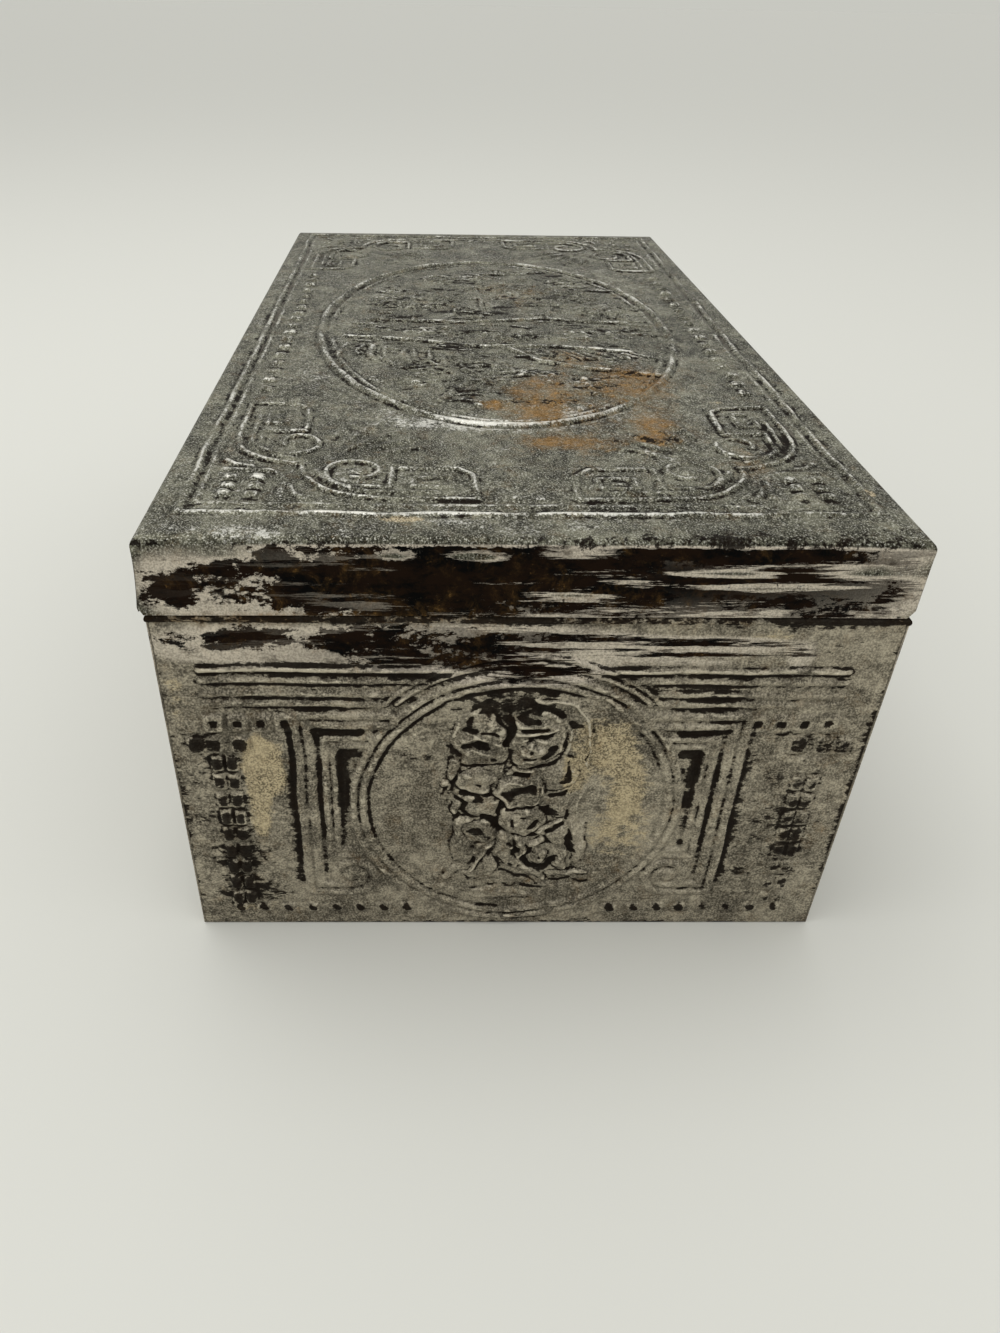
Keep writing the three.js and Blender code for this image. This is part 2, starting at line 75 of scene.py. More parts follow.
@dataclass(frozen=True)
class BoxSizes:
    """Driving dimensions of the sheet-metal work, in millimetres, as in the frame."""

    length: float = 223.2
    width: float = 120
    wall_height: float = 70.3
    sheet: float = 0.35
    seam: float = 0.05
    bore_radius: float = 0.46
    rim_proud: float = 0.25
    lid_height: float = 13.3
    lid_overhang: float = 0.2
    lid_gap: float = 0.1
    strap_width: float = 14
    strap_sheet: float = 0.3
    strap_from_end: float = 49.5
    strap_clearance: float = 0.25

    @property
    def rim_radius(self) -> float:
        """Outer radius of the rolled rim."""
        return self.bore_radius + self.sheet

    @property
    def rim_inset(self) -> float:
        """How far the wire's middle lies inside the wall's face."""
        return self.rim_radius - self.rim_proud

    @property
    def rim_z(self) -> float:
        """Height of the wire's middle."""
        return self.wall_height + math.sqrt(self.rim_radius**2 - self.rim_inset**2)

    @property
    def lid_top_z(self) -> float:
        """Height of the lid's flat top."""
        return self.rim_z + self.rim_radius + self.lid_gap + self.lid_height

    @property
    def hinge_y(self) -> float:
        """Distance of the pivot from the middle of the box."""
        return self.width / 2 - self.rim_inset

    @property
    def strap_x(self) -> float:
        """Distance of each hinge strap from the middle of the box."""
        return self.length / 2 - self.strap_from_end


SIZES = BoxSizes()


# Wear that the materials read from the meshes


class Layer(Enum):
    """Kinds of wear, painted shade and painted sheen, by the name of the vertex attribute that holds each
    one.
    """

    # Real stains, and painted shade: the lines under the reeds and along the near wall's foot, the rims
    # under the lid and the lid's fold.
    STAIN = "stain"
    TORN = "torn"
    STREAK = "streak"
    CREAM = "cream"
    RUST = "rust"
    # Painted highlights and sheen on ridges and the lid's fold, which brighten the rubbed edges.
    SHINE = "shine"


@dataclass(frozen=True)
class Patch:
    """A soft oval patch of one layer, in millimetres; the layers hold wear, painted shade and painted
    sheen.
    """

    layer: Layer
    u: float
    v: float
    wide: float
    tall: float
    amount: float

    def spread(self, u: Array, v: Array) -> Array:
        """Gives the patch's strength at each place."""
        away = ((u - self.u) / self.wide) ** 2 + ((v - self.v) / self.tall) ** 2
        return self.amount * np.exp(-np.minimum(away, 9) ** 1.5)


def patches(layer: Layer, *rows: Row) -> tuple[Patch, ...]:
    """Lists patches of one layer from rows of u, v, width, height and amount."""
    return tuple(Patch(layer, *row) for row in rows)


def scattered(seed: int, half_u: float) -> tuple[Patch, ...]:
    """Scatters wear over a wall's face.

    Args:
        seed: Seed for the places.
        half_u: Half the wall's length.

    Returns:
        The patches.
    """
    rng = np.random.default_rng(seed)
    spans = ((-half_u, half_u), (0, 60), (2.5, 10), (2, 7), (0.5, 1.1))
    found: list[Patch] = []
    for layer, count, amount in ((Layer.STAIN, 14, 0.34), (Layer.CREAM, 7, 0.6), (Layer.RUST, 5, 0.45)):
        for _ in range(count):
            u, v, wide, tall, share = (rng.uniform(*span) for span in spans)
            found.append(Patch(layer, u, v, wide, tall, amount * share))
    return tuple(found)


def gather_wear(spots: Sequence[Patch], u: Array, v: Array) -> dict[Layer, Array]:
    """Adds up patches of wear and painted light, and gives the strength of each layer at each place."""
    return {layer: sum((spot.spread(u, v) for spot in spots if spot.layer is layer),
                       np.zeros(len(u))) for layer in Layer}


# Relief


class Bead(Enum):
    """Cross-sections of a pressed line."""

    ROUND = "round"
    TWIN = "twin"


@dataclass(frozen=True)
class Stroke:
    """How a line is pressed, in millimetres, and how black its groove is."""

    width: float
    height: float
    groove: float = 0
    stain: float = 0
    bead: Bead = Bead.ROUND

    def softer(self, share: float) -> "Stroke":
        """Gives the same line with a share of its height, groove and black."""
        return replace(self, height=self.height * share, groove=self.groove * share,
                       stain=self.stain * share)


@dataclass(frozen=True)
class Oval:
    """An oval on the flat sheet; turn is its first axis's angle from u, in degrees."""

    u: float
    v: float
    radius_u: float
    radius_v: float
    turn: float = 0

    def axes(self, u: Array, v: Array) -> tuple[Array, Array]:
        """Measures places on the oval's own axes.

        Args:
            u: The places, along u.
            v: The places, along v.

        Returns:
            Their two distances from the middle, each 1 where the oval ends.
        """
        cos, sin = math.cos(math.radians(self.turn)), math.sin(math.radians(self.turn))
        du, dv = u - self.u, v - self.v
        return (du * cos + dv * sin) / self.radius_u, (dv * cos - du * sin) / self.radius_v


def smooth(values: Array, low: float, high: float) -> Array:
    """Eases values from 0 at low to 1 at high."""
    share = np.clip((values - low) / (high - low), 0, 1)
    return share * share * (3 - 2 * share)


def box_blur(grid: Array, radius: int) -> Array:
    """Blurs a grid with three passes of a square window.

    Args:
        grid: The values to blur.
        radius: Half the window, in cells.

    Returns:
        The blurred values, on the same grid.
    """
    size = 2 * radius + 1
    for _ in range(3):
        for axis in (0, 1):
            pad = [(0, 0), (0, 0)]
            pad[axis] = (radius + 1, radius)
            total = np.cumsum(np.pad(grid, pad, mode="edge"), axis=axis)
            ahead = np.take(total, range(size, total.shape[axis]), axis=axis)
            behind = np.take(total, range(0, total.shape[axis] - size), axis=axis)
            grid = (ahead - behind) / size
    return grid


def path_distance(u: Array, v: Array, points: Sequence[Point], closed: bool = False) -> Array:
    """Measures how far places lie from a line of points.

    Args:
        u: The places, along u.
        v: The places, along v.
        points: The line's corners.
        closed: Whether the last point joins the first.

    Returns:
        The distance of each place.
    """
    path = list(points) + ([points[0]] if closed or len(points) == 1 else [])
    reach = np.full(u.shape, 1e3)
    for (u0, v0), (u1, v1) in zip(path[:-1], path[1:]):
        du, dv = u1 - u0, v1 - v0
        share = ((u - u0) * du + (v - v0) * dv) / max(du * du + dv * dv, 1e-9)
        share = np.clip(share, 0, 1)
        reach = np.minimum(reach, np.hypot(u - u0 - share * du, v - v0 - share * dv))
    return reach


@dataclass
class Relief:
    """A height map over one panel's flat coordinates from low to high, in millimetres."""

    low: Point
    high: Point
    seed: int
    pitch: float = 0.2

    def __post_init__(self) -> None:
        """Starts a flat map."""
        self.rng = np.random.default_rng(self.seed)
        self.u, self.v = (np.arange(low, high + self.pitch, self.pitch)
                          for low, high in zip(self.low, self.high))
        self.raised = np.zeros((len(self.u), len(self.v)))
        self.sunk = np.zeros_like(self.raised)
        self.stain = np.zeros_like(self.raised)
        self.height = self.hollow = self.edge = self.detail = self.raised

    def window(self, points: Iterable[Point], margin: float) -> tuple[Cells, Array, Array]:
        """Finds the cells round some points.

        Args:
            points: The points.
            margin: How far the cells reach beyond them.

        Returns:
            The slices, and the u and v of the cells.
        """
        ranges = []
        for places, start, count in zip(zip(*points), self.low, self.raised.shape):
            first = max(int((min(places) - margin - start) / self.pitch), 0)
            last = min(int((max(places) + margin - start) / self.pitch) + 2, count)
            ranges.append(slice(first, max(last, first)))
        u, v = np.meshgrid(self.u[ranges[0]], self.v[ranges[1]], indexing="ij")
        return (ranges[0], ranges[1]), u, v

    def along(self, points: Sequence[Point], margin: float, closed: bool = False) -> tuple[Cells, Array]:
        """Finds the cells near a line of points, and their distance from it."""
        cells, u, v = self.window(points, margin)
        return cells, path_distance(u, v, points, closed)

    def around(self, oval: Oval, margin: float) -> tuple[Cells, Array, Array]:
        """Finds the cells round an oval, and their places on its axes."""
        cells, u, v = self.window([(oval.u, oval.v)], max(oval.radius_u, oval.radius_v) + margin)
        return cells, *oval.axes(u, v)

    @staticmethod
    def lift(grid: Array, cells: Cells, values: Array) -> None:
        """Raises a grid's cells to the values where those are higher."""
        grid[cells] = np.maximum(grid[cells], values)

    def press(self, cells: Cells, reach: Array, stroke: Stroke) -> None:
        """Raises a bead, or two side by side, with a groove on both sides.

        Args:
            cells: The cells to work on.
            reach: Each cell's distance from the middle.
            stroke: How the line is pressed.
        """
        width = stroke.width
        if stroke.bead is Bead.TWIN:
            bump = smooth(np.abs(reach - width * 0.29), width * 0.2625, width * 0.084)
            dark = smooth(reach, width * 0.14, width * 0.05)
        else:
            bump = smooth(reach, width * 0.65, width * 0.2)
            dark = smooth(np.abs(reach - width * 0.75), 0.45, 0.1)
        self.lift(self.raised, cells, stroke.height * bump)
        self.lift(self.stain, cells, stroke.stain * dark)
        beside = np.exp(-(((reach - width / 2 - 0.4) / 0.35) ** 2))
        self.lift(self.sunk, cells, stroke.groove * beside)

    def line(self, points: Sequence[Point], stroke: Stroke, closed: bool = False) -> None:
        """Presses a bead along a line of points."""
        self.press(*self.along(points, stroke.width + 1.5, closed), stroke)

    def ring(self, oval: Oval, stroke: Stroke) -> None:
        """Presses a bead round an oval.

        Args:
            oval: The oval.
            stroke: How the bead is pressed.
        """
        cells, a, b = self.around(oval, stroke.width + 1.5)
        radius = np.maximum(np.hypot(a, b), 1e-6)
        slope = np.hypot(a / oval.radius_u, b / oval.radius_v) / radius
        self.press(cells, np.abs(radius - 1) / np.maximum(slope, 1e-6), stroke)

    def stud(self, oval: Oval, height: float, dimple: float = 0, stain: float = 0) -> None:
        """Raises a small square stud.

        Args:
            oval: The stud's middle and half sizes.
            height: Its height.
            dimple: Depth of the dimple in its middle.
            stain: How black its worn top is.
        """
        cells, a, b = self.around(oval, 1)
        reach = (np.abs(a) ** 5 + np.abs(b) ** 5) ** 0.2
        top = height * smooth(reach, 1.15, 0.75) - dimple * smooth(reach, 0.6, 0.2)
        core = 0.5 if dimple > 0 else 0.95
        self.lift(self.raised, cells, top)
        self.lift(self.sunk, cells, 0.15 * np.exp(-(((reach - 1.3) / 0.2) ** 2)))
        self.lift(self.stain, cells, stain * smooth(reach, core, core * 0.7))

    def dome(self, oval: Oval, height: float) -> None:
        """Raises an oval dome."""
        cells, a, b = self.around(oval, 0.4)
        self.lift(self.raised, cells, height * np.clip(1 - a * a - b * b, 0, 1) ** 0.6)

    def lay(self, cells: Cells, reach: Array, radius: Array | float, height: float) -> None:
        """Lays a rounded form over what stands, with a dark seam round it.

        Args:
            cells: The cells to work on.
            reach: Each cell's distance from the form's middle, as a share of its radius.
            radius: The form's radius.
            height: The form's height.
        """
        seam = np.exp(-((((reach - 1) * radius - 0.1) / 0.28) ** 2)) * (reach >= 1)
        body = height * (0.35 + 0.65 * np.clip(1 - reach**2, 0, 1) ** 0.6)
        under = self.raised[cells]
        self.raised[cells] = np.where(reach < 1, np.maximum(body, 0.6 * under), under * (1 - 0.45 * seam))
        self.stain[cells] = np.maximum(self.stain[cells] * smooth(reach, 0.8, 1), 0.42 * seam)

    def form(self, oval: Oval, height: float) -> None:
        """Lays an oval form over what stands."""
        cells, a, b = self.around(oval, 1.2)
        self.lay(cells, np.hypot(a, b), min(oval.radius_u, oval.radius_v), height)

    def limb(self, start: Point, end: Point, radii: Point, height: float) -> None:
        """Lays a rounded, tapering limb over what stands.

        Args:
            start: Middle of its first end.
            end: Middle of its second end.
            radii: Its radius at both ends.
            height: Its height.
        """
        cells, u, v = self.window([start, end], max(radii) + 1.2)
        du, dv = end[0] - start[0], end[1] - start[1]
        share = ((u - start[0]) * du + (v - start[1]) * dv) / max(du * du + dv * dv, 1e-9)
        share = np.clip(share, 0, 1)
        radius = radii[0] + (radii[1] - radii[0]) * share
        reach = np.hypot(u - start[0] - share * du, v - start[1] - share * dv) / radius
        self.lay(cells, reach, radius, height)

    def swell(self, oval: Oval, height: float) -> None:
        """Swells what stands there into an oval bump."""
        cells, a, b = self.around(oval, 0.4)
        self.raised[cells] += height * smooth(np.hypot(a, b), 1, 0.3)

    def stripe(self, points: Sequence[Point], width: float, foot: float,
               crest: float) -> tuple[Cells, Array]:
        """Finds the cells near a line, and a share that eases from 0 at its foot to 1 at its crest."""
        cells, reach = self.along(points, width + 0.5)
        return cells, smooth(reach, width * foot, width * crest)

    def ridge(self, points: Sequence[Point], width: float, height: float) -> None:
        """Raises a fine ridge on top of what stands.

        Args:
            points: The line's corners.
            width: The ridge's width.
            height: How much higher it gets.
        """
        cells, share = self.stripe(points, width, 0.65, 0.2)
        self.raised[cells] += height * share
        self.stain[cells] *= 1 - share

    def chase(self, points: Sequence[Point], width: float, depth: float, stain: float) -> None:
        """Cuts a chased line down into what stands, and blackens it.

        Args:
            points: The line's corners.
            width: Its width.
            depth: Its depth.
            stain: How black it is.
        """
        cells, cut = self.stripe(points, width, 0.7, 0.15)
        self.raised[cells] -= depth * cut * (self.raised[cells] > 0.05)
        self.lift(self.stain, cells, stain * cut)

    def paint(self, points: Sequence[Point], width: float, amount: float) -> None:
        """Blackens the sheet along a line, or round one point."""
        cells, share = self.stripe(points, width, 0.7, 0.25)
        self.lift(self.stain, cells, amount * share)

    def batter(self, low: Point, high: Point, depth: float) -> None:
        """Wears what stands high in a window into lumps.

        Args:
            low: Lowest u and v of the window.
            high: Highest u and v of the window.
            depth: Height of the lumps.
        """
        cells, u, v = self.window([low, high], 0)
        u = u + 3.6 * depth * self.clouded(0.9)[cells]
        v = v + 3.6 * depth * self.clouded(0.9)[cells]
        self.stain[cells] = self.sample(self.stain, u, v)
        lumps = self.clouded(0.4)[cells] + 0.7 * self.clouded(0.8)[cells]
        raised = self.sample(self.raised, u, v)
        self.raised[cells] = raised + depth * lumps * smooth(raised, 0.2, 0.6)

    def blurred(self, grid: Array, radius: float) -> Array:
        """Blurs a grid by a radius in millimetres, or by one cell if that is more."""
        return box_blur(grid, max(int(radius / self.pitch), 1))

    def clouded(self, radius: float) -> Array:
        """Makes soft noise of about one unit over the whole map."""
        noise = self.blurred(self.rng.standard_normal(self.raised.shape), radius)
        return noise / max(float(noise.std()), 1e-9)

    def settle(self, wear: float, rough: float) -> None:
        """Works out the final heights and where they are hollow, sharp or busy.

        Args:
            wear: How far the relief is softened.
            rough: Height of the fine unevenness.
        """
        u, v = np.meshgrid(self.u, self.v, indexing="ij")
        u = u + 0.12 * self.clouded(2.4)
        v = v + 0.12 * self.clouded(2.4)
        height = self.sample(self.raised, u, v) * np.clip(1 + 0.16 * self.clouded(1.8), 0.5, 1.4)
        height = height - self.sample(self.sunk, u, v) * (1 - smooth(height, 0.05, 0.3))
        self.stain = self.sample(self.stain, u, v)
        height = self.blurred(height, wear)
        height += rough * self.clouded(0.4) * smooth(np.abs(height), 0.02, 0.3)
        height += 0.04 * self.clouded(6)
        self.height = height
        self.hollow = self.blurred(height, 0.5) - height
        self.edge = height - self.blurred(height, 0.25)
        self.detail = self.blurred(np.hypot(*np.gradient(height, self.pitch)), 0.5)

    def sample(self, grid: Array, u: Array, v: Array) -> Array:
        """Reads a grid between its cells.

        Args:
            grid: One of this map's grids.
            u: Where to read it, along u.
            v: Where to read it, along v.

        Returns:
            The values, zero outside the map.
        """
        i = (u - self.low[0]) / self.pitch
        j = (v - self.low[1]) / self.pitch
        inside = (i > -1) & (j > -1) & (i < len(self.u)) & (j < len(self.v))
        i = np.clip(i, 0, len(self.u) - 1.001)
        j = np.clip(j, 0, len(self.v) - 1.001)
        i0, j0 = i.astype(int), j.astype(int)
        a, b = i - i0, j - j0
        value = (grid[i0, j0] * (1 - a) * (1 - b) + grid[i0 + 1, j0] * a * (1 - b)
                 + grid[i0, j0 + 1] * (1 - a) * b + grid[i0 + 1, j0 + 1] * a * b)
        return np.where(inside, value, 0)


# Ornament


def arc(centre: Point, radii: float | Point, start: float, end: float, steps: int) -> list[Point]:
    """Lists points along an arc between two angles in degrees, or a spiral if it has two radii."""
    reach, turn = np.linspace(*zip(np.broadcast_to(radii, 2), np.radians((start, end))), steps + 1, axis=1)
    return list(zip(centre[0] + reach * np.cos(turn), centre[1] + reach * np.sin(turn)))


def mirrored(side: int, *points: Point) -> list[Point]:
    """Places points on one side, which is 1 on the right and -1 on the left."""
    return [(side * u, v) for u, v in points]


@dataclass
class CornerScroll:
    """The scrolled corner ornament, measured in from two border lines."""

    relief: Relief
    place: Place
    stroke: Stroke = Stroke(0.95, 0.5, 0.22, 0.5)

    def put(self, points: Iterable[Point], swap: bool = False) -> list[Point]:
        """Places points, on the other side of the diagonal if swap is set."""
        return [self.place((b, a) if swap else (a, b)) for a, b in points]

    def line(self, points: Iterable[Point], swap: bool = False, share: float = 1,
             closed: bool = False) -> None:
        """Presses one line of the ornament at a share of its full height."""
        self.relief.line(self.put(points, swap), self.stroke.softer(share), closed)

    def arm(self, swap: bool) -> None:
        """Presses one of its two arms.

        Args:
            swap: Whether it is the arm on the other side of the diagonal.
        """
        outer = arc((17.8, 30.4), 13, 270, 180, 10)
        self.line([*outer, (4.6, 47), (13.5, 46.5), (16.2, 44), (16.5, 34)], swap)
        self.line([*arc((17.8, 30.4), 10.6, 258, 186, 8), (7.2, 40.5)], swap, 0.85)
        eye = (15, 27)
        self.line([(16.5, 32.6), (8.7, 32.6), *arc(eye, (6.4, 2.2), 165, 560, 26)], swap)
        self.relief.dome(Oval(*self.put([eye], swap)[0], 1.2, 1.2), 0.35)
        self.line([(9, 36.4), (9, 42.8), (12.6, 42.8), (12.6, 36.4)], swap, 0.85, True)
        self.line([(10.6, 38.6), (10.6, 40.8)], swap, 0.6)

    def corner(self) -> None:
        """Presses the bracket, the studs and the flared tips in the corner itself."""
        self.line([(15.2, 4.6), *arc((11, 11), 4, 0, 90, 6), (4.6, 15.2)], share=0.6)
        for swap in (False, True):
            self.line([(19, 4.4), (17.2, 6), (16.2, 9.4)], swap, 0.8)
        for a in (5.6, 8.7, 11.8):
            for b in (6.2, 10.6):
                self.relief.stud(Oval(*self.place((a, b)), 0.95, 1.15), 0.6)
                self.relief.paint(self.put([(a - 1.7, b - 0.8), (a - 1.7, b + 0.8)]), 1, 0.8)

    def leaves(self) -> None:
        """Presses the spray of narrow leaves that points to the middle."""
        for start, end in (((23.5, 24), (33.5, 34)), ((22, 30), (26, 38.5)), ((30, 22), (38.5, 26)),
                           ((24, 27.5), (30.5, 38)), ((27.5, 24), (38, 30.5))):
            (u0, v0), (u1, v1) = self.put([start, end])
            turn = math.degrees(math.atan2(v1 - v0, u1 - u0))
            half = math.hypot(u1 - u0, v1 - v0) / 2
            self.relief.dome(Oval((u0 + u1) / 2, (v0 + v1) / 2, half, 1.1, turn), 0.55)
            self.relief.paint([(u0 + 0.9, v0), (u1 + 0.9, v1)], 0.9, 0.4)

    def press(self) -> None:
        """Presses the whole ornament."""
        self.arm(False)
        self.arm(True)
        self.corner()
        self.leaves()


@dataclass
class Landscape:
    """A made-up country picture in low relief: fields, a stream, trees and clouds."""

    relief: Relief
    place: Place

    def line(self, points: Iterable[Point], width: float, height: float, groove: float = 0.192,
             stain: float = 0.45) -> None:
        """Presses one line of the picture."""
        stroke = Stroke(width * 1.15, height * 1.5, groove, stain)
        self.relief.line([self.place(point) for point in points], stroke)

    def clump(self, middle: Point, half: Point, count: int, size: float) -> None:
        """Presses a clump of small leaves or tufts.

        Args:
            middle: Its middle in the picture.
            half: Its half width and half height.
            count: How many leaves it has.
            size: Their size.
        """
        rng = self.relief.rng
        for _ in range(count):
            angle, reach = rng.uniform(0, 2 * math.pi), math.sqrt(rng.uniform(0, 1))
            spot = self.place((middle[0] + half[0] * reach * math.cos(angle),
                               middle[1] + half[1] * reach * math.sin(angle)))
            radii = size * rng.uniform(0.8, 2), size * rng.uniform(0.5, 1)
            height = rng.uniform(0.3, 0.75)
            self.relief.dome(Oval(*spot, *radii, rng.uniform(55, 125)), height)

    def fields(self) -> None:
        """Presses the field edges, their furrows and the stream."""
        for edge in ([(-36, -11), (-20, -14), (-3, -19)], [(-3, -19), (14, -18), (30, -22)],
                     [(2, -20), (9, -29), (20, -34), (34, -38)], [(-30, 3), (-8, 1), (12, 5), (33, 2)]):
            self.line(edge, 0.8, 0.42, 0.24)
        rng = self.relief.rng
        for i in range(9):
            bend = rng.uniform(-1.2, 1.2)
            self.line([(-34 + 3 * i + bend, -17 - 0.9 * i), (-36 + 3.4 * i, -21 - 1.6 * i + bend),
                       (-36 + 4.2 * i, -23 - 2.6 * i + 2 * bend)], rng.uniform(0.7, 1.2), 0.3)
        for i in range(10):
            bend = rng.uniform(-1.2, 1.2)
            self.line([(10 + 2.2 * i, -21 - 0.2 * i + bend), (13 + 2.4 * i + bend, -28 + 0.3 * i)],
                      rng.uniform(0.7, 1.1), 0.25)
        for i in range(6):
            self.line([(-22 + i, -31 - 2.4 * i), (-4 + 2 * i, -27 - 2.2 * i)], 0.7, 0.24)
        self.line([(-6, -24), (-12, -33), (-8, -43), (-14, -54)], 1.4, 0.22, 0.32)

    def growth(self) -> None:
        """Presses the trees, bushes and tufts."""
        for right, foot, up, wide, count in ((-20, 2, 22, 10, 160), (14, 6, 28, 13, 260),
                                             (28, 4, 15, 6, 80), (-3, 6, 42, 9, 120)):
            self.line([(right, foot), (right + 0.9, (foot + up) / 2), (right - 0.4, up)], 0.8, 0.2)
            self.clump((right, up), (wide, wide * 0.8), count, 1)
        for right, up, wide, tall, count in ((-30, -5, 6, 3, 26), (-14, -7, 8, 3, 34),
                                             (20, -9, 11, 4, 50), (4, -10, 7, 3, 28),
                                             (-2, -36, 14, 8, 42), (17, -45, 10, 5, 26),
                                             (-22, -42, 6, 4, 18), (4, -56, 12, 3, 24)):
            self.clump((right, up), (wide, tall), count, 0.75)

    def clouds(self) -> None:
        """Presses curled clouds and streaks of sky."""
        for right, up, size, turn in ((-13, 46, 4.4, 1), (5, 55, 3.4, -1), (22, 44, 4.2, 1),
                                      (-26, 32, 3.2, -1), (-6, 12, 3.6, 1)):
            self.line(arc((right, up), (size, 0.8), 200, 200 - turn * 480, 22), 0.8, 0.32)
        rng = self.relief.rng
        for _ in range(420):
            right, up = rng.uniform(-36, 36), rng.uniform(-58, 60)
            if (right / 37) ** 2 + (up / 61) ** 2 > 0.95:
                continue
            long = rng.uniform(2, 6.5)
            self.line([(right, up), (right + long, up + rng.uniform(-1.6, 1.6))], 0.65,
                      rng.uniform(0.1, 0.32), 0.16, rng.uniform(0.18, 0.9))

    def press(self) -> None:
        """Presses the whole picture."""
        self.fields()
        self.growth()
        self.clouds()


@dataclass
class LidDesign:
    """The lid's border, corner scrolls, rows of dashes and oval picture."""

    half_u: float
    half_v: float
    shift: float = -1.6
    border_from_end: float = 7.2
    border_from_side: float = 5
    border_pitch: float = 3.1
    scroll_from_end: float = 8.1
    oval_half: Point = (67, 41.8)
    dash_count: int = 18
    dash_pitch: float = 5.7
    dash_row: float = 6.3
    relief: Relief = field(init=False)

    def __post_init__(self) -> None:
        """Presses the whole design."""
        self.relief = Relief((-self.half_u, -self.half_v), (self.half_u, self.half_v), seed=11)
        self.border_u = SIZES.length / 2 - self.border_from_end
        self.border_v = SIZES.width / 2 - self.border_from_side
        self.scroll_u = SIZES.length / 2 - self.scroll_from_end
        self.border()
        for s in (1, -1):
            for t in (1, -1):
                CornerScroll(self.relief, self.corner_place(s, t)).press()
        self.dashes()
        self.frame_oval()
        Landscape(self.relief, lambda point: (self.shift - point[1], point[0])).press()
        self.relief.settle(wear=0.2, rough=0.03)

    def corner_place(self, s: int, t: int) -> Place:
        """Gives the placing function of one corner of the border."""
        return lambda point: (s * (self.scroll_u - point[0]) + self.shift, t * (self.border_v - point[1]))

    def frame_corners(self, inset: float) -> list[Point]:
        """Lists the corners of a frame that lies this far inside the border."""
        u, v = self.border_u - inset, self.border_v - inset * 0.7
        return [(s * u + self.shift, t * v) for s, t in ((1, 1), (-1, 1), (-1, -1), (1, -1))]

    def border(self) -> None:
        """Presses the double line round the edge, with a dark groove between."""
        for inset, width, height in ((0, 1, 0.5), (self.border_pitch, 0.8, 0.3)):
            self.relief.line(self.frame_corners(inset), Stroke(width, height, 0.2, 0.2), True)
        middle = self.frame_corners(self.border_pitch * 0.46)
        self.relief.paint([*middle, middle[0]], 1, 0.32)

    def dashes(self) -> None:
        """Presses the row of short bars along each side and the studs at each end."""
        for i in range(self.dash_count):
            u = (i - (self.dash_count - 1) / 2) * self.dash_pitch + self.shift
            for t in (1, -1):
                v = t * (self.border_v - self.dash_row)
                self.relief.stud(Oval(u, v, 1.05, 1.45), 0.7)
                self.relief.paint([(u - 2.1, v - 1.1), (u - 2.1, v + 1.1)], 1.2, 1)
        for s in (1, -1):
            for v in (-1.8, 1.8):
                self.relief.stud(Oval(s * (self.scroll_u - 5) + self.shift, v, 0.85, 0.85), 0.4)

    def frame_oval(self) -> None:
        """Presses the ring round the picture."""
        for inset, stroke in ((0, Stroke(1.5, 0.7, 0.25, 0.25)), (2.5, Stroke(0.8, 0.3, 0.2, 0.45))):
            half_u, half_v = self.oval_half
            self.relief.ring(Oval(self.shift, 0, half_u - inset, half_v - inset), stroke)


class Tool(Enum):
    """Ways to work the figures, with what a row of numbers says for each."""

    FORM = "place, both radii, perhaps a turn, and height"
    SWELL = "place, both radii and height"
    LIMB = "both ends, both radii and height"
    RIDGE = "width, height and points"
    HOLLOW = "width, blackness and points"


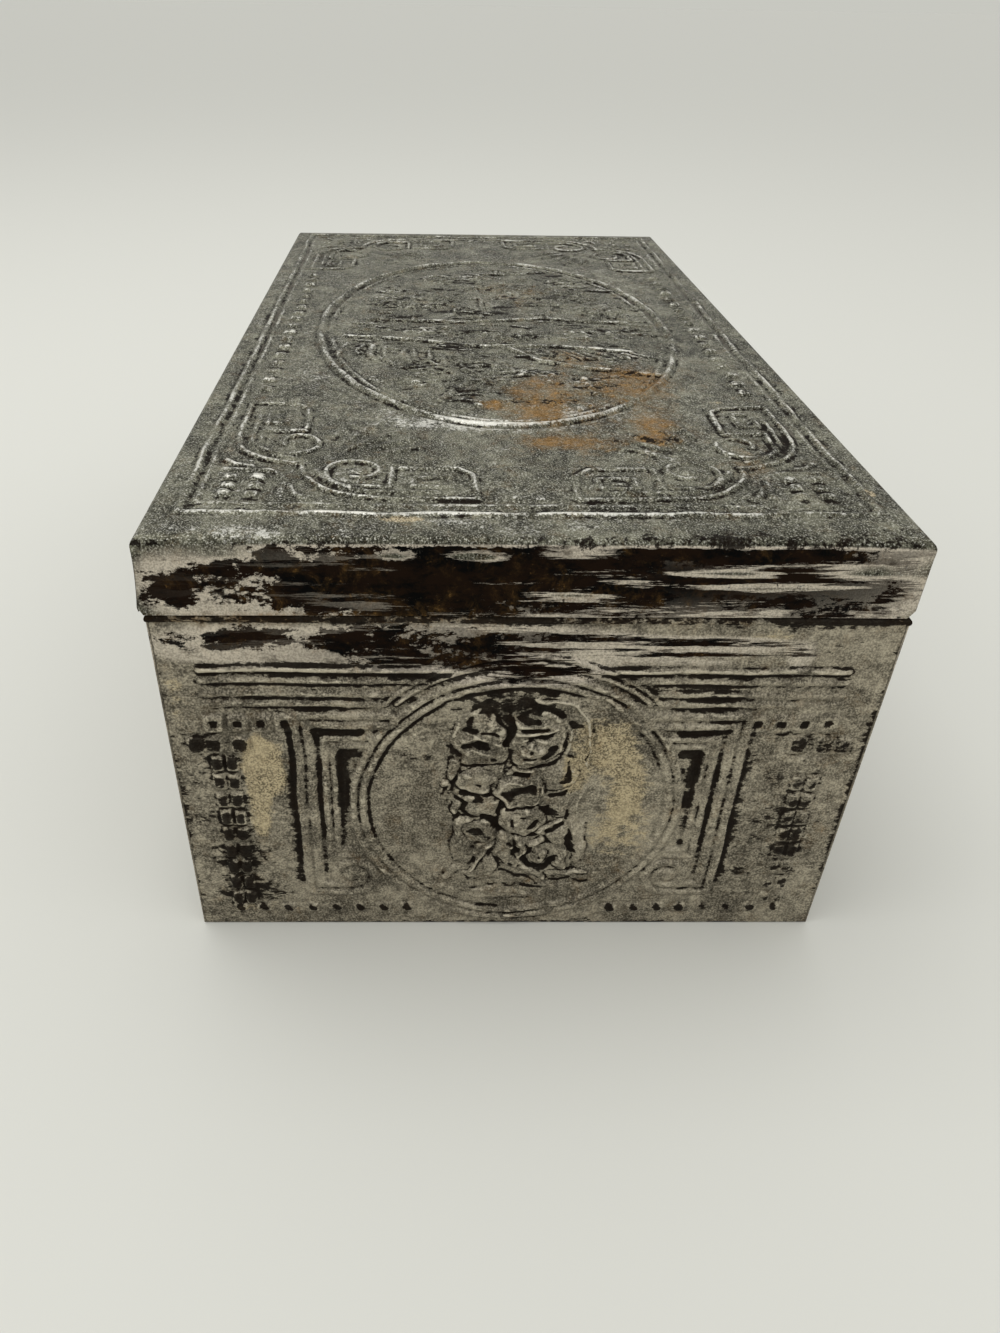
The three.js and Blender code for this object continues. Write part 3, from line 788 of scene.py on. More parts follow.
# The figures' places are measured from the roundel's middle, in the order of the work
FIGURES: tuple[tuple[Tool, tuple[Row, ...]], ...] = (
    # Hollows in the ground
    (Tool.HOLLOW, ((0.9, 0.7, -12.8, -16.8, -11.6, -18.2), (0.7, 0.7, -8.6, -21, -3, -20.2),
        (0.8, 0.8, -2, -19.6, 6.4, -21.4), (0.7, 0.6, -4, -24.4, 4, -24.2))),
    # The left child: legs and wing, body, and then the plain round head
    (Tool.FORM, ((-6.6, 4.5, 4.4, 9, 0.6), (-6.6, -9.5, 4.6, 8.6, 0.5))),
    (Tool.LIMB, ((-9.2, -4.6, -9.4, -14.2, 2.2, 1.5, 0.75), (-9.8, -14.6, -12.5, -17.7, 0.9, 0.6, 0.55),
        (-5.1, -4.5, -6.8, -11.7, 1.8, 1.1, 0.75))),
    (Tool.FORM, ((-11.3, 8.9, 1.1, 2.2, 0.6), (-12.3, 5.3, 1, 1.6, 0.5), (-13.2, 3.1, 0.8, 1.4, 0.4),
        (-6.1, -5.9, 3, 2.9, 0.85), (-6.7, 0.8, 3.4, 2.9, 0.85), (-6.9, 5.8, 3.5, 3, 0.95),
        (-4.7, -15, 2.3, 2.4, 0.75), (-9, -17.1, 1.8, 1.5, 0.6), (-10.7, 0.1, 0.8, 2.2, 0.75))),
    (Tool.LIMB, ((-4, -8.7, -8.6, -15.6, 0.5, 0.4, 0.95),)),
    (Tool.FORM, ((-6.7, 15.8, 4.5, 6.3, 14, 0.95),)),
    (Tool.SWELL, ((-6.3, 18.9, 4.4, 3.4, 0.35), (-7.3, 12.8, 2.4, 2.6, 0.2), (-8.4, 12.4, 1.2, 1.4, 0.26),
        (-5.8, 12.9, 1.4, 1.2, 0.26), (-4.7, 11.7, 1.1, 1.3, 0.26), (-7.2, 10.1, 1.2, 1, 0.26))),
    (Tool.HOLLOW, ((2.2, 0.8, -9, 20.5, -8.4, 18.8, -7.8, 17.7), (1.3, 0.9, -9.4, 18, -7.3, 17.5),
        (0.8, 0.7, -6, 17.2, -4.2, 17.9), (0.8, 0.6, -6.9, 21.6, -5.7, 22),
        (1.8, 0.95, -9.3, 14.6, -6.1, 14.6), (0.8, 0.9, -4.6, 11.9, -4.5, 11.2),
        (1.2, 0.8, -11.9, 14.1, -10.2, 12), (0.7, 0.7, -12, 11.2, -10.1, 11.4),
        (0.9, 0.85, -9.7, 9.6, -7.6, 9.4, -5.7, 9.6), (0.6, 0.7, -7.4, 5.3, -6.2, 4.9),
        (0.9, 0.9, -9.7, 3.3, -4.9, 3.3), (1.3, 0.7, -8.1, 1.6, -7, 2.2),
        (0.9, 0.9, -10.8, 2.5, -9.6, 1.2, -9.1, -1.4), (0.6, 0.8, -11.8, 1.2, -11.9, -1.1),
        (1.7, 1, -5.8, -2.2, -4.1, -3, -2.3, -5.5), (1.3, 0.8, -7.9, -6.1, -6.5, -5.3, -5, -6.9),
        (1.2, 0.7, -7.7, -10.5, -6.7, -8.9), (1.3, 0.85, -4, -10.7, -4.8, -12.1),
        (0.8, 0.8, -9.3, -17.3, -8.4, -18.8), (0.8, 0.8, -12.3, 4.9, -13.4, 3.1),
        (0.8, 0.7, -11.5, 6.4, -10.2, 7.1), (0.7, 0.7, -12.2, -19.2, -6.9, -18.8),
        (0.6, 0.6, -8.7, -13.7, -7.7, -12.5))),
    (Tool.RIDGE, ((0.7, 0.35, -9.7, 16, -7.8, 16.2, -5.4, 15.8, -3.3, 15.5),
        (0.8, 0.3, -11.1, 14.1, -11.6, 16.2, -10.6, 18.5, -9.2, 21, -7.6, 22),
        (0.6, 0.35, -9.6, 4.6, -8.2, 3.6, -6.3, 3.5, -4.7, 4.4))),
    # The right child, in the same order
    (Tool.FORM, ((3.2, 4, 6.2, 8.5, 0.6), (4.6, -10, 8.4, 8, 0.5))),
    (Tool.LIMB, ((7.9, -5.6, 8.7, -15, 1.6, 1.2, 0.85), (11.6, -4.9, 12.2, -13.7, 1.5, 1.1, 0.75),
        (-1.6, -6.9, -1.9, -11.7, 1.8, 1.6, 0.9), (-1.3, -12.1, 2.3, -15.4, 1.4, 1.2, 0.85),
        (2.3, -15.4, 6.3, -18.4, 1, 0.6, 0.7), (7.1, -16.7, 14.5, -17.1, 0.7, 0.5, 0.6))),
    (Tool.FORM, ((6.6, 7.1, 3.2, 2.5, 12, 0.8), (7.5, 0.1, 2, 2.3, 0.85), (2, -9.6, 1.8, 2, 0.9),
        (5.1, -11.9, 2.6, 3.7, 0.35), (5.2, -12.1, 1.3, 1.9, 0.95), (1.1, -2.4, 4.2, 4.4, 1.05),
        (0.6, 4.4, 4.6, 3.9, 1))),
    (Tool.LIMB, ((4.4, -5.9, 8.2, -3.1, 0.7, 0.5, 1), (3.4, -9, 5.7, -8, 0.7, 0.6, 0.9))),
    (Tool.FORM, ((2.4, 15.9, 4.7, 6.4, -8, 0.95),)),
    (Tool.SWELL, ((2.7, 18.9, 4.4, 3.6, 0.35), (1.9, 13.3, 2.6, 2.8, 0.2), (0.8, 13.6, 1.2, 1.5, 0.26),
        (3.3, 13.8, 1, 1.5, 0.26), (2, 11.2, 1.1, 0.9, 0.26), (-0.7, -2.6, 1.2, 2.3, 0.26),
        (2.8, -1, 1.7, 1.6, 0.26))),
    (Tool.HOLLOW, ((1.5, 0.85, 0.1, 21, 2.7, 20.5), (1, 0.95, 0.5, 18.7, 4.3, 18.9),
        (1.3, 0.8, 1.6, 16.7, 4.5, 17.2), (1.8, 0.8, 5.5, 14.5, 4.9, 12.1), (0.6, 0.9, 1.9, 14, 2.1, 13.5),
        (0.5, 0.8, 1.4, 12.1, 2.9, 12.1), (0.7, 0.95, 2.4, 9.3, 5, 10, 7, 11.8, 8, 14.5, 7.9, 17.2),
        (0.6, 0.6, -1.7, 11, 0.2, 10.5), (0.8, 0.9, -0.5, 8.6, 2.2, 8),
        (1, 0.9, 8.8, 10.4, 8.1, 7.1, 7.2, 6.2), (2.4, 1, -1.6, 3.5, 0, 4.9, 2.7, 5),
        (0.6, 0.9, 3.9, 3.3, 4.3, 5), (1.1, 0.95, 6.1, 3.5, 7.9, 3.3), (0.6, 0.8, -1.4, 0.2, 0, 0.1),
        (0.8, 0.85, 2.3, 0.7, 3.1, 0.7), (0.7, 0.85, -0.6, -2.2, -0.4, -3.9),
        (0.5, 0.8, 0.9, -1.8, 1.2, -2), (1.2, 0.9, 2.8, -2.9, 2.7, -3.9), (2.4, 0.95, 5.2, 0.1, 6.1, -0.6),
        (1.1, 0.95, 9, -1, 9.2, -2.5), (0.9, 0.95, 6.3, -6.4, 7.9, -4.9, 8.9, -3.9),
        (0.9, 0.95, 0.3, -6.5, 4.6, -6.8), (2.4, 0.85, 10.1, -8, 10.8, -10.9),
        (1.1, 1, 3.4, -10, 2.6, -12.5, 4, -14.8, 6.7, -14.8, 7.3, -13.3),
        (0.5, 0.8, 5.1, -11.9, 5.3, -12.3), (0.9, 0.85, 5.3, -8.8, 6.2, -8.4),
        (0.8, 0.7, -0.8, -9, -0.6, -9.4), (1, 0.9, 0.4, -10.1, 0.6, -11.7),
        (0.8, 0.8, -0.5, -13.7, -0.2, -14.4), (0.7, 1, 7.9, -18.9, 14.4, -19),
        (0.8, 0.85, -1.7, -16.2, 0.1, -17.1, 2.5, -18.4, 5, -20.1), (0.6, 0.8, 6.8, -16.9, 7.2, -18.4),
        (0.7, 0.8, 12.7, -14.1, 13, -14.3), (1, 0.85, -3.4, 1.2, -3, -1))),
    (Tool.RIDGE, ((0.7, 0.3, -1.6, 21, -0.7, 19.9, 0.4, 19.4, 2.7, 19.7, 4, 20.1),
        (0.7, 0.35, -0.5, 17.9, 1.3, 17.9, 3.4, 18.1, 5.7, 18.4),
        (0.6, 0.25, 0.4, 16.2, 1.9, 16.5, 4.6, 16), (0.8, 0.3, 5.4, 19.2, 6.5, 17.6, 6.9, 15.9, 6.9, 13.8),
        (0.6, 0.3, 2, 15.4, 1.9, 13.1),
        (0.8, 0.3, -3, 4.2, -2.8, 5.3, -1.2, 6.8, 1.2, 7.1, 3.5, 5.7, 4, 3.5, 2.9, 1.6, -0.9, 1.2, -2.6,
         2.4), (0.7, 0.3, 3.5, 6.8, 4.7, 5, 5.2, 3.1),
        (0.7, 0.25, 0.7, -7.2, 2, -10.5, 1.6, -13.3, 4.1, -16))),
    # The cloth that flies round the right child, and the dark round the heads
    (Tool.RIDGE, (
        (0.8, 0.45, 2.4, 24.4, 3.9, 24.1, 5.4, 24.5, 7, 23.8, 8.7, 22.5, 10.2, 20.6, 11.1, 17.9, 12.2, 8.6,
         12, 5, 11.2, -1, 10.6, -3.7), (0.8, 0.35, 3, 22.5, 5.5, 20.9, 7.8, 17.9, 8.3, 15.6, 8, 13.2))),
    (Tool.HOLLOW, ((1.6, 0.9, -2, 20.5, -1.1, 18.9, -1.5, 17.2, -2.5, 15.5), (1, 0.9, -9.6, 25, -8.6, 25.2),
        (1.7, 0.95, -3.4, 23, -2.1, 22.5), (1, 0.7, -1.1, 22.8, 0.2, 22.8),
        (1.5, 0.95, 2.8, 25.9, 5.1, 25.5), (1.1, 0.8, 1.4, 23.8, 3.1, 22.3),
        (1.2, 0.6, -6.2, 23.4, -8, 22.8), (1, 0.85, 4.6, 22.8, 6.8, 20.2), (1.1, 0.9, 8.3, 18.6, 9.6, 18.4),
        (0.9, 0.8, 8.8, 12.5, 9.5, 12.1), (0.5, 0.8, 11.5, 12.8, 11.6, 11.1),
        (0.5, 0.8, 11.3, 6.8, 10.9, 4.6), (0.7, 0.7, -15.3, 12, -15.6, 10.6),
        (0.9, 0.6, -11.6, 21.5, -10.3, 22.1), (0.8, 0.6, -15.4, 21.6, -14.9, 21.4))))


@dataclass
class Children:
    """Two small winged children in low relief, worn by handling."""

    relief: Relief
    centre: Point

    def at(self, *values: float) -> list[Point]:
        """Places points that are given as right, up, right, up and so on."""
        return [(self.centre[0] + u, self.centre[1] + v) for u, v in zip(values[::2], values[1::2])]

    def work(self, tool: Tool, row: Row) -> None:
        """Makes one form or line.

        Args:
            tool: The tool.
            row: Its numbers.
        """
        if tool in (Tool.FORM, Tool.SWELL):
            right, up, *shape, height = row
            lay = self.relief.form if tool is Tool.FORM else self.relief.swell
            lay(Oval(*self.at(right, up)[0], *shape), height)
        elif tool is Tool.LIMB:
            self.relief.limb(*self.at(*row[:4]), row[4:6], row[6])
        elif tool is Tool.RIDGE:
            self.relief.ridge(self.at(*row[2:]), *row[:2])
        else:
            self.relief.chase(self.at(*row[2:]), row[0], 0.4 * row[1], row[1])

    def ground(self) -> None:
        """Raises the uneven ground and the plants that the children stand on."""
        rng = self.relief.rng
        for _ in range(34):
            spot = self.at(rng.uniform(-15, 15.5), -20 - rng.uniform(0, 3.6))[0]
            radii = rng.uniform(1, 2.8), rng.uniform(0.4, 0.8)
            height = rng.uniform(0.25, 0.55)
            self.relief.dome(Oval(*spot, *radii, rng.uniform(-18, 18)), height)
        for right in (-15.4, -13.2, 13.8, 15.8):
            for lean in (-1.26, 0, 1.26):
                self.relief.line(self.at(right, -19.6, right + lean, -16), Stroke(0.6, 0.3))

    def press(self) -> None:
        """Presses the whole group."""
        self.ground()
        for tool, rows in FIGURES:
            for row in rows:
                self.work(tool, row)
        self.relief.batter(*self.at(-15, -22, 15, 24.5), 0.1)


@dataclass
class WallDesign:
    """The walls' reeded mouldings, roundel, angular scrolls and studs."""

    half: float
    seed: int
    pitch: float = 0.2
    worn_right: float = 1
    roundel_radius: float = 29.6
    rise: float = 31.3
    reeds: tuple[float, ...] = (9, 11.2, 13.9, 15.9)
    margin: float = 6.5
    stud_pitch: float = 4.6
    relief: Relief = field(init=False)

    def __post_init__(self) -> None:
        """Presses the design on a wall of any length."""
        self.relief = Relief((-self.half, 0), (self.half, SIZES.wall_height), self.seed, self.pitch)
        self.mouldings()
        self.roundel()
        for side in (1, -1):
            self.key_frame(side)
            self.columns(side)
            self.foot_row(side)
        if self.half > SIZES.width / 2:
            self.side_panels()
        Children(self.relief, (0, self.rise)).press()
        self.relief.settle(wear=0.12, rough=0.05)

    def mouldings(self) -> None:
        """Presses the level mouldings, the first of which hops over the roundel, each with a dark line
        under it that is partly dirt and partly painted shade.
        """
        edge, reach = self.half - self.margin, self.roundel_radius + 1.6
        profiles = ((0.9, 0.45, 0.8), (0.9, 0.3, 0.5), (1, 0.22, 0.25), (1.1, 0.26, 0.35))
        for drop, (width, height, stain) in zip(self.reeds, profiles):
            v = SIZES.wall_height - drop
            rise = min((v - self.rise) / reach, 0.999)
            stop = max(reach * math.sqrt(1 - rise * rise), 7)
            stroke = Stroke(width, height, 0.14, stain * 0.5)
            for side in (1, -1):
                self.relief.line(mirrored(side, (edge, v), (stop + 2, v)), stroke)
                # A dark line is painted just under each reed: partly dirt, partly painted shade under the
                # bead.
                below = mirrored(side, (edge, v - 0.85), (stop + 4, v - 0.85))
                self.relief.paint(below, 0.8, stain)
        for grow, height in ((1.9, 0.34), (3.2, 0.26)):
            radius = self.roundel_radius + grow
            start = math.degrees(math.asin(min((54.5 - self.rise) / radius, 1)))
            hop = arc((0, self.rise), radius, start, 180 - start, 30)
            self.relief.line(hop, Stroke(0.8, height, 0.15, 0.45))

    def roundel(self) -> None:
        """Presses the double ring."""
        middle = self.roundel_radius - 1.2
        self.relief.ring(Oval(0, self.rise, middle, middle), Stroke(3, 0.46, 0.14, 0.25, Bead.TWIN))
        inside = self.roundel_radius - 3.1
        for start, end, steps, stain in ((95, 265, 40, 0.6), (20, 95, 20, 0.4)):
            self.relief.paint(arc((0, self.rise), inside, start, end, steps), 0.8, stain)

    def key_frame(self, side: int) -> None:
        """Presses the angular scroll beside the roundel.

        Args:
            side: 1 on the right, -1 on the left.
        """
        outer, inner = self.roundel_radius + 7.8, self.roundel_radius + 3.4
        top = SIZES.wall_height - 19.4
        curl = arc((30, 13.4), (3.4, 1.2), -90, -500, 24)
        band = [(outer - 14.8, top), (outer, top), (outer, 10), *curl]
        self.relief.line(mirrored(side, *band), Stroke(3.7, 0.42, 0.14, 0.22, Bead.TWIN))
        hook = [(inner - 6.6, top - 4.6), (inner, top - 4.6), (inner, 19.6), (inner - 3.4, 19.6)]
        self.relief.line(mirrored(side, *hook), Stroke(2.9, 0.36, 0.14, 0.22, Bead.TWIN))
        for width, stain, *points in (
                (1.4, 0.95 if side < 0 else 0.6, (outer + 2.2, top - 1), (outer + 2.4, 12)),
                (2, 1, (inner - 5.2, top - 2.3), (outer - 2.4, top - 2.3)),
                (1.1, 0.62, (outer - 2.5, top - 2.6), (outer - 2.5, 14)),
                (2.4, 1, (inner - 4.2, top - 7.2), (inner - 2, top - 7.2), (inner - 2, 32)),
                (1.4, 0.55, (inner - 2, 30), (inner - 1.9, 22))):
            self.relief.paint(mirrored(side, *points), width, stain)

    def columns(self, side: int) -> None:
        """Presses the top rows and the double column of studs.

        Args:
            side: 1 on the right, -1 on the left.
        """
        relief, rng = self.relief, self.relief.rng
        column, top = self.half - self.margin - 2.3, SIZES.wall_height - 19.9
        worn = self.worn_right if side > 0 else 1
        for offset in (1.2, -3, -6.9, -10.8):
            spot = Oval(side * (column + offset), top, 1.8, 1.8)
            relief.stud(spot, 0.6 * worn, 0.4 * worn, 0.95)
        for offset in (4.8, 1.7, -2.8):
            spot = Oval(side * (column + offset), top - 4.8, 1.55, 1.7)
            relief.stud(spot, 0.5 * worn, 0, 0.85 * worn)
        for i in range(9):
            v = top - 9 - i * 4.25
            for offset in (-1, 1.6):
                spot = Oval(side * (column + offset), v, 1.05, 1.7)
                relief.stud(spot, 0.45 * worn, 0, 0.8 * worn)
            if worn < 1:
                relief.paint([(side * (column - 0.6), v)], 1, 0.85)
            else:
                ends = (column - 3, v + 0.8), (column + rng.uniform(2.5, 6), v + 0.8)
                relief.paint(mirrored(side, *ends), 1.1, rng.uniform(0.15, 0.5))

    def foot_row(self, side: int) -> None:
        """Presses the row of small marks along the foot.

        Args:
            side: 1 on the right, -1 on the left.
        """
        column = self.half - self.margin
        for i in range(int((column - self.roundel_radius * 0.66) / self.stud_pitch) + 1):
            u = side * (column - 1 - i * self.stud_pitch)
            self.relief.stud(Oval(u, 4.6, 1.45, 1.15), 0.36)
            self.relief.paint([(u - 0.2, 4.9), (u + 0.2, 4.3)], 1.6, 1.1)

    def side_panels(self) -> None:
        """Fills the length beside the roundel with framed scrolls."""
        outer, inner = self.half - self.margin - 9, self.roundel_radius + 13
        low, high = 7.8, SIZES.wall_height - 20.4
        frames = ((0, Stroke(2.9, 0.5, 0.25, 0.5, Bead.TWIN)), (4.2, Stroke(0.9, 0.4, 0.25, 0.5)))
        for side in (1, -1):
            for inset, stroke in frames:
                near, far, foot, head = inner + inset, outer - inset, low + inset, high - inset
                corners = mirrored(side, (near, foot), (far, foot), (far, head), (near, head))
                self.relief.line(corners, stroke, True)
            self.garland(side * (inner + outer) / 2, (low + high) / 2)

    def garland(self, u: float, v: float) -> None:
        """Presses a rosette between leafy scrolls.

        Args:
            u: Its middle along the wall.
            v: Its middle up the wall.
        """
        relief = self.relief
        relief.dome(Oval(u, v, 1.9, 1.9), 0.9)
        for petal, spot in enumerate(arc((u, v), 4, 0, 315, 7)):
            relief.dome(Oval(*spot, 2.1, 1.2, petal * 45), 0.6)
        relief.ring(Oval(u, v, 7.4, 7.4), Stroke(0.8, 0.4, 0.15, 0.4))
        for side in (1, -1):
            for lift in (1, -1):
                eye, turn, start = (u + side * 14.6, v + lift * 6.6), side * lift, 90 - 90 * side
                spiral = arc(eye, (5.6, 1), start, start + turn * 520, 30)
                relief.line(spiral, Stroke(0.9, 0.5, 0.2, 0.45))
                for leaf, spot in enumerate(arc(eye, 7.2, 0, 290, 5)):
                    relief.dome(Oval(*spot, 1.5, 0.65, leaf * 58 + 35 * turn), 0.4)


# Finishes


@dataclass
class Nodes:
    """Short calls that build one node tree."""

    tree: bpy.types.NodeTree

    def feed(self, target: Socket, source: object) -> None:
        """Links a socket into an input, or sets the input's value.

        Args:
            target: The input.
            source: The socket or the value.
        """
        if isinstance(source, bpy.types.NodeSocket):
            self.tree.links.new(source, target)
        elif target.type == "RGBA":
            target.default_value = (*source, 1)
        else:
            target.default_value = source

    def add(self, kind: str, inputs: dict[int | str, object] | None = None,
            **settings: object) -> bpy.types.Node:
        """Adds a shader node.

        Args:
            kind: The node's kind.
            inputs: What feeds its inputs.
            settings: Its properties.

        Returns:
            The node.
        """
        node = self.tree.nodes.new(f"ShaderNode{kind}")
        for name, value in settings.items():
            setattr(node, name, value)
        for key, source in (inputs or {}).items():
            self.feed(node.inputs[key], source)
        return node

    def math(self, operation: str, *values: Input) -> Socket:
        """Works on one, two or three numbers."""
        return self.add("Math", dict(enumerate(values)), operation=operation).outputs[0]

    def times(self, first: Input, second: Input) -> Socket:
        """Multiplies two numbers."""
        return self.math("MULTIPLY", first, second)

    def total(self, *terms: Input) -> Socket:
        """Adds up two or more numbers."""
        return reduce(lambda first, second: self.math("ADD", first, second), terms)

    def swing(self, value: Input, size: float) -> Socket:
        """Turns noise around 0.5 into a swing around 0 of the given size."""
        return self.math("MULTIPLY_ADD", value, size, -0.5 * size)

    def ease(self, value: Input, *ends: Input) -> Socket:
        """Eases a value from one range to another, or to 0 and 1 if one range is given."""
        values = dict(enumerate((value, *ends)))
        return self.add("MapRange", values, interpolation_type="SMOOTHSTEP").outputs[0]

    def mix(self, share: Input, first: object, second: object) -> Socket:
        """Mixes two colours."""
        return self.add("Mix", {0: share, 6: first, 7: second}, data_type="RGBA").outputs[2]

    def blend(self, share: Input, first: Input, second: Input) -> Socket:
        """Mixes two numbers."""
        return self.add("Mix", {0: share, 2: first, 3: second}, data_type="FLOAT").outputs[0]

    def noise(self, vector: Socket, scale: Input, detail: float = 5, rough: float = 0.6,
              twist: float = 0) -> Socket:
        """Adds soft noise and gives its value."""
        return self.add("TexNoise", {"Vector": vector, "Scale": scale, "Detail": detail,
                                     "Roughness": rough, "Distortion": twist}).outputs["Fac"]

    def stretched(self, vector: Socket, scale: Colour) -> Socket:
        """Scales coordinates, so that a pattern on them is drawn out."""
        return self.add("Mapping", {"Vector": vector, "Scale": scale}).outputs[0]

    def attribute(self, name: str) -> Socket:
        """Reads a number that the mesh stores for each vertex."""
        return self.add("Attribute", attribute_name=name).outputs["Fac"]

    def group(self, tree: bpy.types.NodeTree, **values: object) -> bpy.types.Node:
        """Places a node group and fills its inputs."""
        return self.add("Group", values, node_tree=tree)

    def bump(self, height: Socket, strength: float, distance: float) -> Socket:
        """Turns a height into a normal."""
        values = {"Strength": strength, "Distance": distance, "Height": height}
        return self.add("Bump", values).outputs["Normal"]


def new_group(name: str, inputs: Sequence[str],
              outputs: Sequence[str]) -> tuple[Nodes, list[Socket], list[Socket]]:
    """Starts a shader node group that takes a vector and numbers, and gives numbers.

    Args:
        name: The group's name.
        inputs: Names of the numbers that it takes.
        outputs: Names of the numbers that it gives.

    Returns:
        Its builder, what it is given, and what it has to fill.
    """
    tree = bpy.data.node_groups.new(name, "ShaderNodeTree")
    sockets = [("Vector", "INPUT", "Vector"), *((label, "INPUT", "Float") for label in inputs),
               *((label, "OUTPUT", "Float") for label in outputs)]
    for label, way, kind in sockets:
        tree.interface.new_socket(name=label, in_out=way, socket_type=f"NodeSocket{kind}")
    given = tree.nodes.new("NodeGroupInput").outputs[:len(inputs) + 1]
    return Nodes(tree), given, tree.nodes.new("NodeGroupOutput").inputs[:len(outputs)]


class Effects:
    """The shared shader groups: torn flakes, metal grain, and dirt, painted shade and painted sheen in the
    relief.
    """

    def __init__(self) -> None:
        """Builds the three groups."""
        self.flakes = self.make_flakes()
        self.grain = self.make_grain()
        self.patina = self.make_patina()

    @staticmethod
    def make_flakes() -> bpy.types.NodeTree:
        """Builds patches of plate that is left, with ragged edges.

        Returns:
            The group.
        """
        nodes, (place, scale, bare), (left,) = new_group("torn_flakes", ["Scale", "Bare"], ["Left"])
        coarse = nodes.noise(place, scale, 7, 0.6, 0.25)
        fine = nodes.noise(place, nodes.times(scale, 6.5), 6, 0.8)
        both = nodes.total(nodes.swing(coarse, 2.6), nodes.swing(fine, 1.5), 0.5)
        low, high = (nodes.math("ADD", bare, soft) for soft in (-0.02, 0.02))
        nodes.feed(left, nodes.ease(both, low, high))
        return nodes.tree

    @staticmethod
    def make_grain() -> bpy.types.NodeTree:
        """Builds the frosted grain of pitted metal.

        Returns:
            The group.
        """
        nodes, (place, scale), (speckle, sparkle, height) = new_group(
            "pitted_grain", ["Scale"], ["Speckle", "Sparkle", "Height"])
        fine = nodes.noise(place, scale, 2)
        wide = nodes.noise(place, nodes.times(scale, 0.25), 5, 0.7)
        both = nodes.total(nodes.times(fine, 0.62), nodes.times(wide, 0.38))
        nodes.feed(speckle, nodes.ease(both, 0.4, 0.6))
        nodes.feed(sparkle, nodes.ease(fine, 0.56, 0.68))
        nodes.feed(height, both)
        return nodes.tree

    @staticmethod
    def make_patina() -> bpy.types.NodeTree:
        """Builds the black dirt in hollows, the grime in grooves that is partly painted shade, and the
        rubbed edges with their painted sheen, from the mesh's relief.

        Returns:
            The group.
        """
        nodes, (place, hollow, edge, stain, shine), (dirt, grime_and_shade, rub) = new_group(
            "relief_patina", ["Hollow", "Edge", "Stain", "Shine"], ["Dirt", "Grime", "Rub"])
        cloudy = nodes.noise(place, 110, 4, 0.6, 0.4)
        broad = nodes.noise(place, 330, 5, 0.7, 0.3)
        fine = nodes.noise(place, 1500, 4, 0.7)
        patchy = nodes.ease(cloudy, 0.38, 0.62, 0.35, 2.3)
        black = nodes.total(nodes.times(hollow, patchy), nodes.times(stain, 0.9),
                            nodes.swing(cloudy, 0.8), nodes.swing(broad, 1.9), nodes.swing(fine, 1.7))
        # Grime in the grooves, partly painted shade.
        grey = nodes.total(nodes.times(hollow, 2.6), nodes.times(stain, 0.5),
                           nodes.swing(broad, 1.2), nodes.swing(fine, 1.2))
        # The sheen attribute adds painted highlights to the rubbed edges.
        bright = nodes.total(nodes.times(edge, 6), nodes.times(shine, 0.36),
                             nodes.swing(fine, 2.4), nodes.swing(cloudy, 1.5))
        nodes.feed(dirt, nodes.ease(black, 0.36, 0.58))
        nodes.feed(grime_and_shade, nodes.ease(grey, 0.02, 0.9))
        nodes.feed(rub, nodes.ease(bright, 0.3, 0.75))
        return nodes.tree


def darker(colour: Colour, share: float) -> Colour:
    """Scales a colour."""
    return tuple(part * share for part in colour)


@dataclass
class Coat:
    """A material under way, with its builder, Object coordinates and grain."""

    name: str
    effects: Effects
    grain_scale: float

    def __post_init__(self) -> None:
        """Starts the material."""
        self.material = bpy.data.materials.new(self.name)
        self.material.use_nodes = True
        self.nodes = Nodes(self.material.node_tree)
        self.place = self.nodes.add("TexCoord").outputs["Object"]
        grain = self.nodes.group(self.effects.grain, Vector=self.place, Scale=self.grain_scale)
        self.speckle, self.sparkle, self.height = grain.outputs[:3]

    def fill(self, **sources: object) -> bpy.types.Material:
        """Feeds the shader and ends the material.

        Args:
            sources: What feeds its inputs, which are named with _ for a space.

        Returns:
            The material.
        """
        shader = self.material.node_tree.nodes["Principled BSDF"]
        for name, source in sources.items():
            self.nodes.feed(shader.inputs[name.replace("_", " ")], source)
        return self.material


